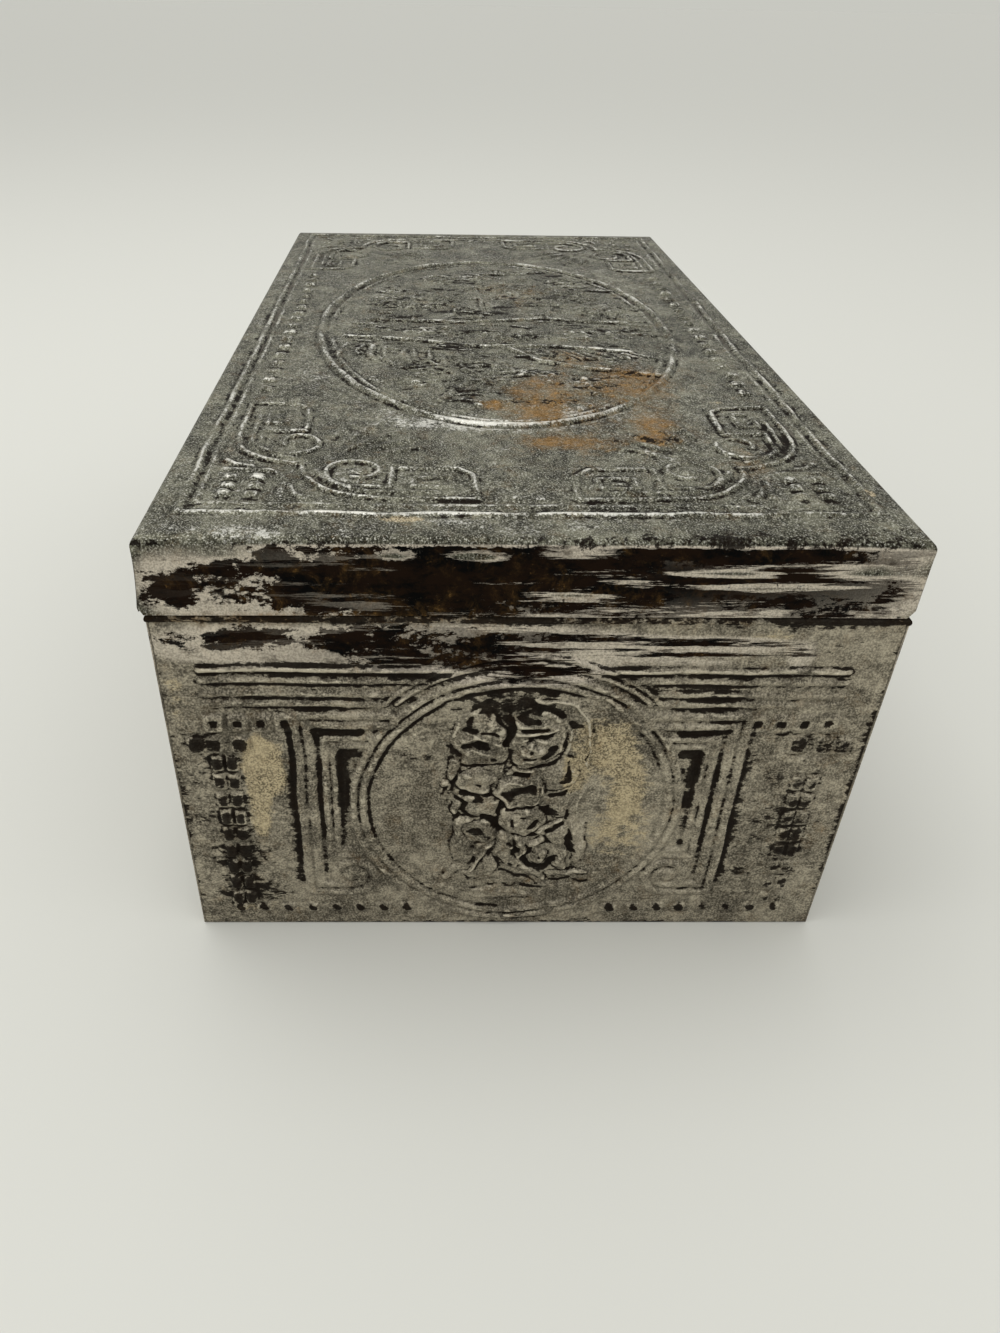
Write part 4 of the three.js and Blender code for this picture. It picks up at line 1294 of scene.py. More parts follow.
@dataclass(frozen=True)
class PlateFinish:
    """Worn silver plate over darkened brown metal."""

    name: str
    dull: Colour
    pale: Colour
    bright: Colour
    fresh: Colour = (0.62, 0.555, 0.45)
    scuffed: Colour = (0.24, 0.21, 0.165)
    cream: Colour = (0.58, 0.48, 0.3)
    black: Colour = (0.0015, 0.0016, 0.0016)
    brown: Colour = (0.0105, 0.0052, 0.0026)
    rust: Colour = (0.4, 0.22, 0.065)
    lining: Colour = (0.16, 0.145, 0.115)
    metallic: float = 0.5
    roughness: float = 0.45
    speckle: float = 0.6
    sparkle: float = 0.25
    grain_scale: float = 2300
    brush: Colour = (1, 1, 1)
    flake_scale: float = 120

    def build(self, effects: Effects) -> bpy.types.Material:
        """Builds the material.

        Args:
            effects: The shared shader groups.

        Returns:
            The material.
        """
        coat = Coat(self.name, effects, self.grain_scale)
        nodes, place = coat.nodes, coat.place
        drawn = nodes.stretched(place, self.brush)
        marks = {name.title(): nodes.attribute(name) for name in ("hollow", "edge", "stain", "shine")}
        dirt, grime_and_shade, rub = nodes.group(effects.patina, Vector=drawn, **marks).outputs[:3]
        plate = self.plate(coat, drawn)
        # Grooves and hollows are darkened towards a dark plate colour: partly grime, partly painted shade.
        plate = nodes.mix(nodes.times(grime_and_shade, 0.72), plate, darker(self.dull, 0.3))
        torn, bare = self.torn(coat, plate)
        rub = nodes.times(rub, nodes.math("MULTIPLY_ADD", bare, -0.9, 0.9))
        shiny = nodes.mix(nodes.times(coat.sparkle, 0.7), self.bright, darker(self.bright, 1.6))
        rusted = self.rusted(coat, nodes.mix(rub, torn, shiny))
        dirt = nodes.times(dirt, 0.94)
        sooty = nodes.mix(nodes.noise(place, 420), self.black, self.brown)
        lining = nodes.mix(nodes.noise(place, 60, 7, 0.65), self.lining, self.brown)
        inside = nodes.times(nodes.attribute("inside"), 0.8)
        dark = nodes.math("MAXIMUM", dirt, bare)
        rough = nodes.blend(coat.speckle, self.roughness + 0.12, self.roughness - 0.06)
        level = nodes.total(nodes.times(coat.height, 0.8), nodes.times(bare, -0.35))
        return coat.fill(Base_Color=nodes.mix(inside, nodes.mix(dirt, rusted, sooty), lining),
                         Metallic=nodes.blend(dark, self.metallic, 0.05),
                         Roughness=nodes.blend(dark, nodes.blend(rub, rough, 0.32), 0.6),
                         Specular_IOR_Level=0.03, Normal=nodes.bump(level, 0.6, 0.00014))

    def plate(self, coat: Coat, drawn: Socket) -> Socket:
        """Gives the plate that is left its clouds, brushed streaks, grain and cream patches.

        Args:
            coat: The material under way.
            drawn: The coordinates drawn out along the brushing.

        Returns:
            The colour.
        """
        nodes = coat.nodes
        clouds = nodes.noise(coat.place, 95, 10, 0.75, 0.3)
        streaks = nodes.noise(drawn, 700, 6, 0.8)
        share = nodes.total(nodes.swing(clouds, 2.3), nodes.swing(streaks, 2.4), 0.5)
        tone = nodes.mix(nodes.ease(share, 0, 1), self.dull, self.pale)
        warm = nodes.total(nodes.attribute("cream"), nodes.swing(clouds, 1.6), nodes.swing(streaks, 1.6))
        creamy = nodes.mix(nodes.ease(warm, 0.38, 0.75, 0, 0.9), tone, self.cream)
        gritty = nodes.times(nodes.ease(clouds, 0.62, 0.4, 0.5, 1), self.speckle)
        shade = nodes.math("SUBTRACT", gritty, nodes.times(gritty, coat.speckle))
        grainy = nodes.mix(shade, creamy, darker(self.dull, 0.15))
        return nodes.mix(nodes.times(coat.sparkle, self.sparkle), grainy, self.bright)

    def torn(self, coat: Coat, plate: Socket) -> tuple[Socket, Socket]:
        """Tears the plate off down to brown metal where the mesh says so.

        Args:
            coat: The material under way.
            plate: The colour of the plate.

        Returns:
            The colour, and where the metal is bare.
        """
        nodes, flakes = coat.nodes, coat.effects.flakes
        amount = nodes.attribute("torn")
        level = nodes.stretched(coat.place, (0.055, 0.055, 1))
        loose = nodes.stretched(coat.place, (0.5, 0.5, 1))
        drawn_out = nodes.group(flakes, Vector=level, Scale=self.flake_scale * 5, Bare=amount)
        blotched = nodes.group(flakes, Vector=loose, Scale=self.flake_scale, Bare=amount)
        left = nodes.blend(nodes.attribute("streak"), blotched.outputs[0], drawn_out.outputs[0])
        bare = nodes.times(nodes.ease(amount, 0.08, 0.2), nodes.math("SUBTRACT", 1, left))
        soot = nodes.ease(nodes.noise(loose, 260, 8, 0.75), 0.4, 0.58)
        under = nodes.mix(soot, self.black, self.brown)
        worn = nodes.ease(nodes.noise(loose, 300, 6, 0.75), 0.32, 0.46)
        fresh = nodes.mix(worn, self.scuffed, self.fresh)
        pits = nodes.math("MULTIPLY_ADD", coat.speckle, -0.35, 0.35)
        fresh = nodes.mix(pits, fresh, self.black)
        intact = nodes.mix(nodes.ease(amount, 0.1, 0.35), plate, fresh)
        return nodes.mix(bare, intact, under), bare

    def rusted(self, coat: Coat, under: Socket) -> Socket:
        """Adds rust where the mesh says so.

        Args:
            coat: The material under way.
            under: The colour without rust.

        Returns:
            The colour.
        """
        nodes = coat.nodes
        ragged = nodes.swing(nodes.noise(coat.place, 210, 9, 0.8, 0.4), 2.8)
        gritty = nodes.swing(nodes.noise(coat.place, 900, 4, 0.75), 2.8)
        film = nodes.total(nodes.attribute("rust"), ragged)
        colour = nodes.mix(coat.speckle, darker(self.rust, 0.35), darker(self.rust, 0.85))
        tinted = nodes.mix(nodes.ease(film, 0, 1, 0, 0.5), under, darker(self.rust, 0.5))
        spots = nodes.ease(nodes.total(film, gritty), 0.45, 1.3, 0, 0.75)
        return nodes.mix(spots, tinted, colour)


@dataclass(frozen=True)
class IronFinish:
    """Dull iron or tin with rust."""

    name: str
    metal: Colour
    rust: Colour
    rusting: float = 0.5

    def build(self, effects: Effects) -> bpy.types.Material:
        """Builds the material.

        Args:
            effects: The shared shader groups.

        Returns:
            The material.
        """
        coat = Coat(self.name, effects, 2200)
        nodes = coat.nodes
        flakes = nodes.group(effects.flakes, Vector=coat.place, Scale=120, Bare=self.rusting)
        sound = flakes.outputs[0]
        metal = nodes.mix(coat.speckle, darker(self.metal, 0.45), self.metal)
        rust = nodes.mix(coat.speckle, darker(self.rust, 0.4), self.rust)
        return coat.fill(Base_Color=nodes.mix(sound, rust, metal), Metallic=nodes.blend(sound, 0.15, 0.8),
                         Roughness=nodes.blend(sound, 0.8, 0.42),
                         Normal=nodes.bump(coat.height, 0.5, 0.0001))


class Finish(Enum):
    """The finishes of the box, each with the values of its material."""

    LID_PLATE = PlateFinish("worn_lid_plate", (0.07, 0.067, 0.048), (0.262, 0.256, 0.19),
                            (0.6, 0.59, 0.53), metallic=0.4, roughness=0.5, speckle=0.95,
                            sparkle=0.6, grain_scale=3400)
    WALL_PLATE = PlateFinish("tarnished_wall_plate", (0.17, 0.15, 0.113), (0.48, 0.43, 0.325),
                             (0.52, 0.47, 0.36), brush=(0.45, 0.45, 1), speckle=0.8, grain_scale=2700)
    WIRE_IRON = IronFinish("rusty_wire", (0.16, 0.13, 0.1), (0.16, 0.06, 0.02), 0.7)
    STRAP_TIN = IronFinish("dull_strap_tin", (0.3, 0.27, 0.22), (0.17, 0.075, 0.03), 0.35)
    BOTTOM_TIN = IronFinish("dull_bottom_tin", (0.26, 0.24, 0.2), (0.14, 0.07, 0.03), 0.3)


class Palette:
    """The materials, each built once."""

    def __init__(self) -> None:
        """Builds a material for every finish."""
        effects = Effects()
        self.materials = {finish: finish.value.build(effects) for finish in Finish}

    def cover(self, piece: bpy.types.Object, finish: Finish) -> None:
        """Gives a piece one finish all over."""
        piece.data.materials.clear()
        piece.data.materials.append(self.materials[finish])


# Sheet-metal meshes


def deselect_all() -> None:
    """Leaves nothing selected."""
    if bpy.context.object and bpy.context.object.mode != "OBJECT":
        bpy.ops.object.mode_set(mode="OBJECT")
    bpy.ops.object.select_all(action="DESELECT")


def activate(piece: bpy.types.Object) -> None:
    """Selects one object alone and makes it active.

    Args:
        piece: The object.
    """
    deselect_all()
    piece.select_set(True)
    bpy.context.view_layer.objects.active = piece


@contextmanager
def editing(piece: bpy.types.Object) -> Iterator[None]:
    """Opens one object alone in edit mode, and closes it again.

    Args:
        piece: The object.

    Yields:
        Nothing.
    """
    activate(piece)
    bpy.ops.object.mode_set(mode="EDIT")
    yield
    bpy.ops.object.mode_set(mode="OBJECT")


def read_rows(items: bpy.types.bpy_prop_collection, name: str) -> Array:
    """Reads a place from each of a mesh's vertices or faces.

    Args:
        items: The vertices or faces.
        name: The property that holds the place.

    Returns:
        One row of x, y and z for each.
    """
    values = np.empty(len(items) * 3, np.float32)
    items.foreach_get(name, values)
    return values.reshape(-1, 3).astype(np.float64)


def set_coordinates(mesh: bpy.types.Mesh, values: Array) -> None:
    """Moves a mesh's vertices to one row of x, y and z each."""
    mesh.vertices.foreach_set("co", values.astype(np.float32).ravel())
    mesh.update()


def face_outwards(piece: bpy.types.Object) -> None:
    """Turns all faces of a piece outwards."""
    with editing(piece):
        bpy.ops.mesh.select_all(action="SELECT")
        bpy.ops.mesh.normals_make_consistent(inside=False)


def close_up(piece: bpy.types.Object, points: Array, angle: float) -> bpy.types.Object:
    """Moves a piece's vertices, turns its faces outwards and smooths its shading.

    Args:
        piece: The piece to finish.
        points: Where its vertices go, in millimetres.
        angle: The sharpest smooth edge, in degrees.

    Returns:
        The same piece, in metres.
    """
    set_coordinates(piece.data, points * MM)
    face_outwards(piece)
    bpy.ops.object.shade_smooth_by_angle(angle=math.radians(angle))
    deselect_all()
    return piece


def even_lines(start: float, end: float, spacing: float) -> Array:
    """Spaces grid lines evenly between two places."""
    return np.linspace(start, end, max(int(round((end - start) / spacing)), 1) + 1)


def snap(lines: Array, wanted: Iterable[float]) -> None:
    """Moves the nearest grid line onto each wanted place."""
    for place in wanted:
        lines[int(np.argmin(np.abs(lines - place)))] = place


@dataclass
class Blank:
    """A flat sheet with thickness, cut from grid lines, with waste chosen by each face's middle."""

    name: str
    lines_u: Array
    lines_v: Array
    waste: Chooser

    def __post_init__(self) -> None:
        """Cuts the blank."""
        deselect_all()
        bpy.ops.mesh.primitive_grid_add(x_subdivisions=len(self.lines_u) - 1,
                                        y_subdivisions=len(self.lines_v) - 1, size=2)
        self.piece = bpy.context.object
        self.piece.name = self.piece.data.name = self.name
        points = read_rows(self.piece.data.vertices, "co")
        for axis, lines in enumerate((self.lines_u, self.lines_v)):
            line = np.rint((points[:, axis] + 1) / 2 * (len(lines) - 1)).astype(int)
            points[:, axis] = lines[line]
        set_coordinates(self.piece.data, points)
        cut = self.waste(*self.middles()[:2])
        if cut.any():
            self.select(cut)
            with editing(self.piece):
                bpy.ops.mesh.delete(type="FACE")
        solid = self.piece.modifiers.new("thickness", "SOLIDIFY")
        solid.thickness = SIZES.sheet
        solid.offset = -1
        activate(self.piece)
        bpy.ops.object.modifier_apply(modifier=solid.name)

    def middles(self) -> Array:
        """Gives the u, v and depth of each face's middle."""
        return read_rows(self.piece.data.polygons, "center").T

    def select(self, chosen: Array) -> None:
        """Selects exactly the chosen faces.

        Args:
            chosen: One true or false for each face.
        """
        mesh = self.piece.data
        for items in (mesh.vertices, mesh.edges):
            items.foreach_set("select", np.zeros(len(items), bool))
        mesh.polygons.foreach_set("select", chosen)
        with editing(self.piece):
            bpy.ops.mesh.select_mode(type="FACE")
        mesh.polygons.foreach_set("select", chosen)

    def refine(self, relief: Relief, limits: Sequence[Point], focus: Chooser) -> None:
        """Divides the faces where the relief is busy.

        Args:
            relief: The relief that the sheet will get.
            limits: For each round, the least detail on the outer and the inner face.
            focus: How much the detail counts at each face's middle.
        """
        for limit in limits:
            u, v, depth = self.middles()
            detail = relief.sample(relief.detail, u, v) * focus(u, v)
            outer, inner = (np.abs(depth + side) < SIZES.sheet * 0.1 for side in (0, SIZES.sheet))
            self.select((outer & (detail > limit[0])) | (inner & (detail > limit[1])))
            with editing(self.piece):
                bpy.ops.mesh.subdivide(number_cuts=1, quadcorner="STRAIGHT_CUT")

    def flat(self) -> Array:
        """Gives each vertex's u, v and depth on the flat sheet."""
        return read_rows(self.piece.data.vertices, "co").T

    def finish(self, points: Array, relief: Relief, worn: dict[Layer, Array]) -> bpy.types.Object:
        """Marks the wear, moves the sheet to its bent shape and smooths its shading.

        Args:
            points: Where each vertex goes, in millimetres.
            relief: The relief that the sheet got.
            worn: The strength of each kind of wear at each vertex.

        Returns:
            The finished piece, in metres.
        """
        u, v, depth = self.flat()
        outside = depth > -SIZES.sheet / 2
        facing = np.where(outside, 1, -1)
        worn[Layer.STAIN] = worn[Layer.STAIN] + relief.sample(relief.stain, u, v)
        marks = {"hollow": relief.sample(relief.hollow, u, v) * facing,
                 "edge": relief.sample(relief.edge, u, v) * facing, "inside": 1 - outside}
        marks |= {layer.value: np.where(outside, worn[layer], 0) for layer in Layer}
        for name, values in marks.items():
            attribute = self.piece.data.attributes.new(name, "FLOAT", "POINT")
            attribute.data.foreach_set("value", values.astype(np.float32))
        set_coordinates(self.piece.data, points * MM)
        activate(self.piece)
        bpy.ops.object.shade_smooth_by_angle(angle=math.radians(50))
        deselect_all()
        return self.piece


# Pieces of the box


@dataclass
class Piece:
    """What every piece has: the CAD node that it stands for, and how it is dressed."""

    node: str
    body: str
    slot: str
    finish: Finish

    def build(self) -> bpy.types.Object:
        """Builds the mesh."""
        raise NotImplementedError

    def dress(self, mesh: bpy.types.Object, palette: Palette) -> None:
        """Gives the mesh its finish, its body and the CAD node that it stands for.

        Args:
            mesh: The finished mesh.
            palette: The materials.
        """
        mesh.name = f"{self.node}_dressed"
        palette.cover(mesh, self.finish)
        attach(mesh, self.body)
        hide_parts(self.node)
        triangles = sum(len(face.vertices) - 2 for face in mesh.data.polygons)
        LOG.info("%s: %d triangles", mesh.name, triangles)


class Side(Enum):
    """The four walls, by the name of the CAD node that each one stands for."""

    NEAR_END = "end_panel_near"
    FAR_END = "end_panel_far"
    FRONT = "side_panel_front"
    BACK = "side_panel_back"


# Which way each wall's u runs and which way it faces
FACING = {Side.NEAR_END: ((0, 1, 0), (1, 0, 0)), Side.FAR_END: ((0, -1, 0), (-1, 0, 0)),
          Side.FRONT: ((1, 0, 0), (0, -1, 0)), Side.BACK: ((-1, 0, 0), (0, 1, 0))}

NEAR_WALL_WEAR_AND_PAINTED_LIGHT = (
    # Among these stains, the thin line along the foot at v 0 is partly the dark hem and partly painted
    # shade where the wall meets the floor.
    *patches(Layer.STAIN, (48, 30, 9, 24, 0.2), (-56, 40, 3, 26, 0.2), (59.5, 35, 0.7, 40, 0.7),
        (-59.5, 35, 0.6, 40, 0.45), (0, 0, 66, 0.7, 0.5), (-38, 58.6, 17, 0.7, 0.5),
        (-38, 56, 13, 0.9, 0.35), (34, 55.6, 9, 0.8, 0.3), (-51, 30, 5.5, 20, 0.24),
        (-50, 17.5, 6, 4.5, 0.5), (-49, 9.5, 8.5, 3.5, 0.46), (-41, 62.4, 15, 0.7, 0.5),
        (0, 55.5, 12, 3.5, 0.4), (51, 22, 3, 9, 0.22), (44, 14.5, 3, 1.6, 0.35), (-36, 53.3, 9, 0.8, 0.5),
        (2, 31, 9, 20, 0.04), (29, 57, 9, 2, 0.4), (30, 53.6, 7, 1.2, 0.45), (-20, 60.2, 10, 1.6, 0.4)),
    *patches(Layer.TORN, (-44, 66.2, 17, 4, 0.63), (-20, 66, 14, 4.4, 0.68), (-2, 65.5, 15, 4.8, 0.68),
        (26, 66.2, 17, 3.9, 0.52), (26, 66, 12, 0.5, 0.5), (-46, 67.4, 5, 0.6, 0.5), (30, 69, 12, 1, -0.5),
        (30, 64.4, 12, 0.8, -0.35), (44.5, 64, 2.4, 3, 0.3), (0, 60.5, 14, 2.6, 0.4)),
    *patches(Layer.STREAK, (24, 64, 52, 9, 1)),
    *patches(Layer.CREAM, (-44.4, 42, 4, 6.4, 1.1), (-46, 31, 2.2, 10, 1), (-42, 36, 3.2, 4, 0.6),
        (14.5, 46, 7, 7, 1), (9.6, 38.5, 2.4, 4, 1), (20, 36, 4, 7, 0.7), (-50, 4, 8, 2.5, 0.5),
        (-57.5, 56, 2.5, 8, 0.5), (19, 24, 6, 11, 0.55), (-19, 36, 5, 9, 0.3), (40, 68, 6, 2, 0.5)),
    # These are painted highlights along the top reed and near the roundel's top, on the rubbed-edge wear.
    *patches(Layer.SHINE, (-39, 61.3, 14, 0.9, 0.7), (36, 61.5, 18, 0.9, 0.8), (12.5, 53.4, 5, 3, 0.7),
        (5, 55, 4, 1.6, 0.6)))
SKIRT_WEAR = (
    *patches(Layer.TORN, (-52, 77.5, 9, 7, 0.54), (-38, 77.5, 9, 7, 0.68), (-22, 77, 11, 8, 0.8),
        (-2, 78, 15, 8, 0.96), (20, 78, 11, 8, 0.93), (42, 77.5, 15, 8, 0.88), (36, 84, 26, 1.9, 0.6),
        (-20, 84.4, 34, 1.2, 0.5), (57, 77, 4.5, 6, 0.3), (28, 79.5, 9, 0.8, -0.85),
        (38, 76.9, 17, 1.1, -0.7), (50, 80.2, 10, 0.9, -0.75), (38, 72.5, 3, 0.6, -0.8),
        (5, 83, 6, 0.7, -0.95), (-9, 82.4, 4.5, 1, -0.95), (-21, 82.7, 3.5, 0.8, -0.8),
        (14.6, 78.5, 5.5, 0.6, -0.8), (6, 75.8, 8, 0.6, -0.75), (-25, 72.4, 5, 0.6, -0.7),
        (-33, 76, 3, 1.4, -0.3), (-48, 83, 9, 1, -0.3)),
    *patches(Layer.STREAK, (24, 78, 50, 9, 1)),
    *patches(Layer.CREAM, (-54, 76, 5, 4, 0.7), (-40, 83, 6, 1.6, 0.6), (57, 80, 4, 3, 0.5)),
    *patches(Layer.RUST, (-40, 71.9, 24, 0.6, 0.55), (0, 74, 30, 2.5, 0.08)))
LID_TOP_WEAR_AND_PAINTED_LIGHT = (
    *patches(Layer.RUST, (54.7, -3.8, 2.6, 2.2, 0.9), (47, 6, 9, 7, 0.5), (60, 14, 20, 18, 0.26),
        (40, 20, 14, 14, 0.26), (59, 6, 6, 7, 0.6), (73.5, 8, 3.5, 11, 0.62), (64, 27, 7, 5, 0.6),
        (25, 15, 6, 5, 0.5), (72.5, 24.5, 3, 3.5, 0.7), (40, 28, 12, 8, 0.5), (-30, 6, 14, 10, 0.25),
        (84, 40, 10, 3, 0.3)),
    # Among these stains, those at u 110 to 111.3 and the faint wide one at u 100 are painted shade along
    # the near fold.
    *patches(Layer.STAIN, (75, 48, 22, 5, 0.22), (60, 57.5, 50, 2.5, 0.3), (20, -56, 80, 3, 0.18),
        (30, 12, 10, 8, 0.1), (0, 0, 30, 22, 0.03), (72.9, 26.5, 1.6, 3.4, 0.5), (111.3, 0, 0.9, 64, 0.2),
        (110, 34, 2.2, 28, 0.45), (97, -13, 1.6, 5, 0.25), (100, 30, 8, 25, 0.1)),
    # These are painted highlights and sheen: the oval ring's near arc, the near border line, the near
    # fold's left end and a few spots on the picture and scrolls.
    *patches(Layer.SHINE, (64, -12, 4, 15, 1.5), (66.5, 3, 2.6, 9, 0.9), (60, 18, 6, 8, 0.6),
        (102.8, -36, 1.3, 22, 0.6), (102.8, 20, 1.3, 36, 0.3), (109.3, -48, 2.4, 13, 1.1),
        (104.5, -8, 4, 44, 0.3), (16, -10, 8, 12, 0.35), (40, -46, 30, 9, 0.2), (92, -38, 10, 16, 0.2)),
    *patches(Layer.CREAM, (52.4, 41.8, 1.2, 1, 1.4), (104.3, -20, 0.8, 3.5, 1.1), (95, 56, 1.6, 1, 0.9)))

# A limit that no detail reaches
NEVER = 9


@dataclass
class Wall(Piece):
    """One embossed wall with its rolled rim."""

    side: Side = Side.NEAR_END
    cell: float = 1.6
    limits: tuple[Point, ...] = ((0.03, 0.12), (0.1, 0.6))
    coarser: float = 0
    figures_v: float = 32
    figures_radius: float = 20
    pitch: float = 0.2
    worn_right: float = 1
    curl_rows: int = 15
    curl_end: float = 250
    corner_ease: float = 4
    wear: tuple[Patch, ...] = ()
    seed: int = 5

    @classmethod
    def on(cls, side: Side, **values: object) -> "Wall":
        """Makes the wall of one side."""
        return cls(side.value, "body", "wall_plate", Finish.WALL_PLATE, side, **values)

    @property
    def is_end(self) -> bool:
        """Whether this is one of the two short walls."""
        return self.side in (Side.NEAR_END, Side.FAR_END)

    @property
    def half(self) -> float:
        """Half the box's size along the wall."""
        return (SIZES.width if self.is_end else SIZES.length) / 2

    @property
    def wall_half(self) -> float:
        """Half the wall's length below its rim; the short walls stand between the long ones."""
        return self.half - (SIZES.sheet + SIZES.seam if self.is_end else 0)

    @property
    def curl_start(self) -> float:
        """Angle round the wire at which the rim leaves the wall."""
        return -math.atan2(SIZES.rim_z - SIZES.wall_height, SIZES.rim_inset)

    def notches(self) -> list[Point]:
        """Lists the openings in the back wall's rim that leave the wire bare.

        Returns:
            Their u ranges.
        """
        half = SIZES.strap_width / 2 + SIZES.strap_clearance
        straps = (SIZES.strap_x, -SIZES.strap_x) if self.side is Side.BACK else ()
        return [(u - half, u + half) for u in straps]

    def blank(self) -> Blank:
        """Cuts the flat blank, with the notches of the back wall.

        Returns:
            The blank.
        """
        floor = SIZES.rim_z - SIZES.bore_radius - SIZES.strap_sheet - SIZES.strap_clearance
        wanted = [edge for notch in self.notches() for edge in notch]
        lines_u = even_lines(-self.wall_half, self.wall_half, self.cell)
        wall = even_lines(0, SIZES.wall_height, self.cell)
        snap(lines_u, wanted)
        snap(wall, [floor] if wanted else [])
        wall[-1] = SIZES.wall_height
        curl_length = (math.radians(self.curl_end) - self.curl_start) * SIZES.rim_radius
        curl = even_lines(0, curl_length, curl_length / self.curl_rows)
        lines_v = np.concatenate([wall, SIZES.wall_height + curl[1:]])

        def waste(u: Array, v: Array) -> Array:
            """Says which faces lie in a notch."""
            within = [(u > low) & (u < high) & (v > floor) for low, high in self.notches()]
            return np.any([np.zeros(len(u), bool), *within], axis=0)

        return Blank(self.node, lines_u, lines_v, waste)

    def bend(self, u: Array, v: Array, lift: Array) -> Array:
        """Rolls the upper edge over the wire and stands the wall in its place.

        Args:
            u: Each vertex's u.
            v: Each vertex's v.
            lift: Its height over the outer face.

        Returns:
            The places, in millimetres.
        """
        angle = self.curl_start + np.maximum(v - SIZES.wall_height, 0) / SIZES.rim_radius
        reach = SIZES.rim_radius + lift
        curled = v > SIZES.wall_height + 1e-4
        out = np.where(curled, -SIZES.rim_inset + reach * np.cos(angle), lift)
        up = np.where(curled, SIZES.rim_z + reach * np.sin(angle), v)
        end = np.where(curled, self.half + out - SIZES.seam / 2, self.wall_half)
        near = np.clip((np.abs(u) - self.wall_half + self.corner_ease) / self.corner_ease, 0, 1)
        along = u + np.sign(u) * near * (end - self.wall_half)
        right, outward = FACING[self.side]
        face = (SIZES.length if self.is_end else SIZES.width) / 2
        return np.outer(along, right) + np.outer(out + face, outward) + np.outer(up, (0, 0, 1))

    def focus(self, u: Array, v: Array) -> Array:
        """Counts the relief's detail less beyond the figures in the roundel."""
        away = np.hypot(u, v - self.figures_v)
        return 1 - self.coarser * smooth(away, self.figures_radius, self.figures_radius + 7)

    def hold(self, u: Array, v: Array, inset: float, foot: float, head: float) -> Array:
        """Eases to 0 at the wall's ends, foot and head, over three distances from them."""
        level = smooth(v, 0, foot) * smooth(SIZES.wall_height - v, 0, head)
        return level * smooth(self.wall_half - np.abs(u), 0, inset)

    def spots(self) -> tuple[Patch, ...]:
        """Lists the wall's wear, which is made up on a wall that the photograph doesn't show.

        Returns:
            The patches.
        """
        if self.wear:
            return self.wear
        rng = np.random.default_rng(self.seed)
        band = [Patch(Layer.TORN, u, 66, 14, 4.2, rng.uniform(0.35, 0.9))
                for u in np.arange(-self.half, self.half + 1, 17)]
        streak = Patch(Layer.STREAK, 0, 66, self.half * 1.4, 6, 0.8)
        return (*band, streak, *scattered(self.seed, self.half))

    def build(self) -> bpy.types.Object:
        """Builds the wall.

        Returns:
            The finished piece.
        """
        relief = WallDesign(self.wall_half, self.seed, self.pitch, self.worn_right).relief
        blank = self.blank()
        blank.refine(relief, self.limits, self.focus)
        u, v, depth = blank.flat()
        waves = np.sin(u / 17 + self.seed) * np.cos(v / 13 + self.seed) - 0.3
        height = relief.sample(relief.height, u, v) * self.hold(u, v, 1.2, 1.2, 1.5)
        height = height + 0.12 * self.hold(u, v, 12, 8, 6) * waves
        worn = gather_wear(self.spots(), u, v)
        # The rolled rim is darkened and rusted all along: partly rust and grime, partly painted shade under
        # the lid's skirt. Its rust thins towards +u.
        rim = smooth(v, SIZES.wall_height - 0.4, SIZES.wall_height + 0.4)
        worn[Layer.RUST] += rim * (0.4 - 0.25 * np.clip(u / self.half, -1, 1))
        worn[Layer.STAIN] += 0.7 * rim
        return blank.finish(self.bend(u, v, depth + height), relief, worn)


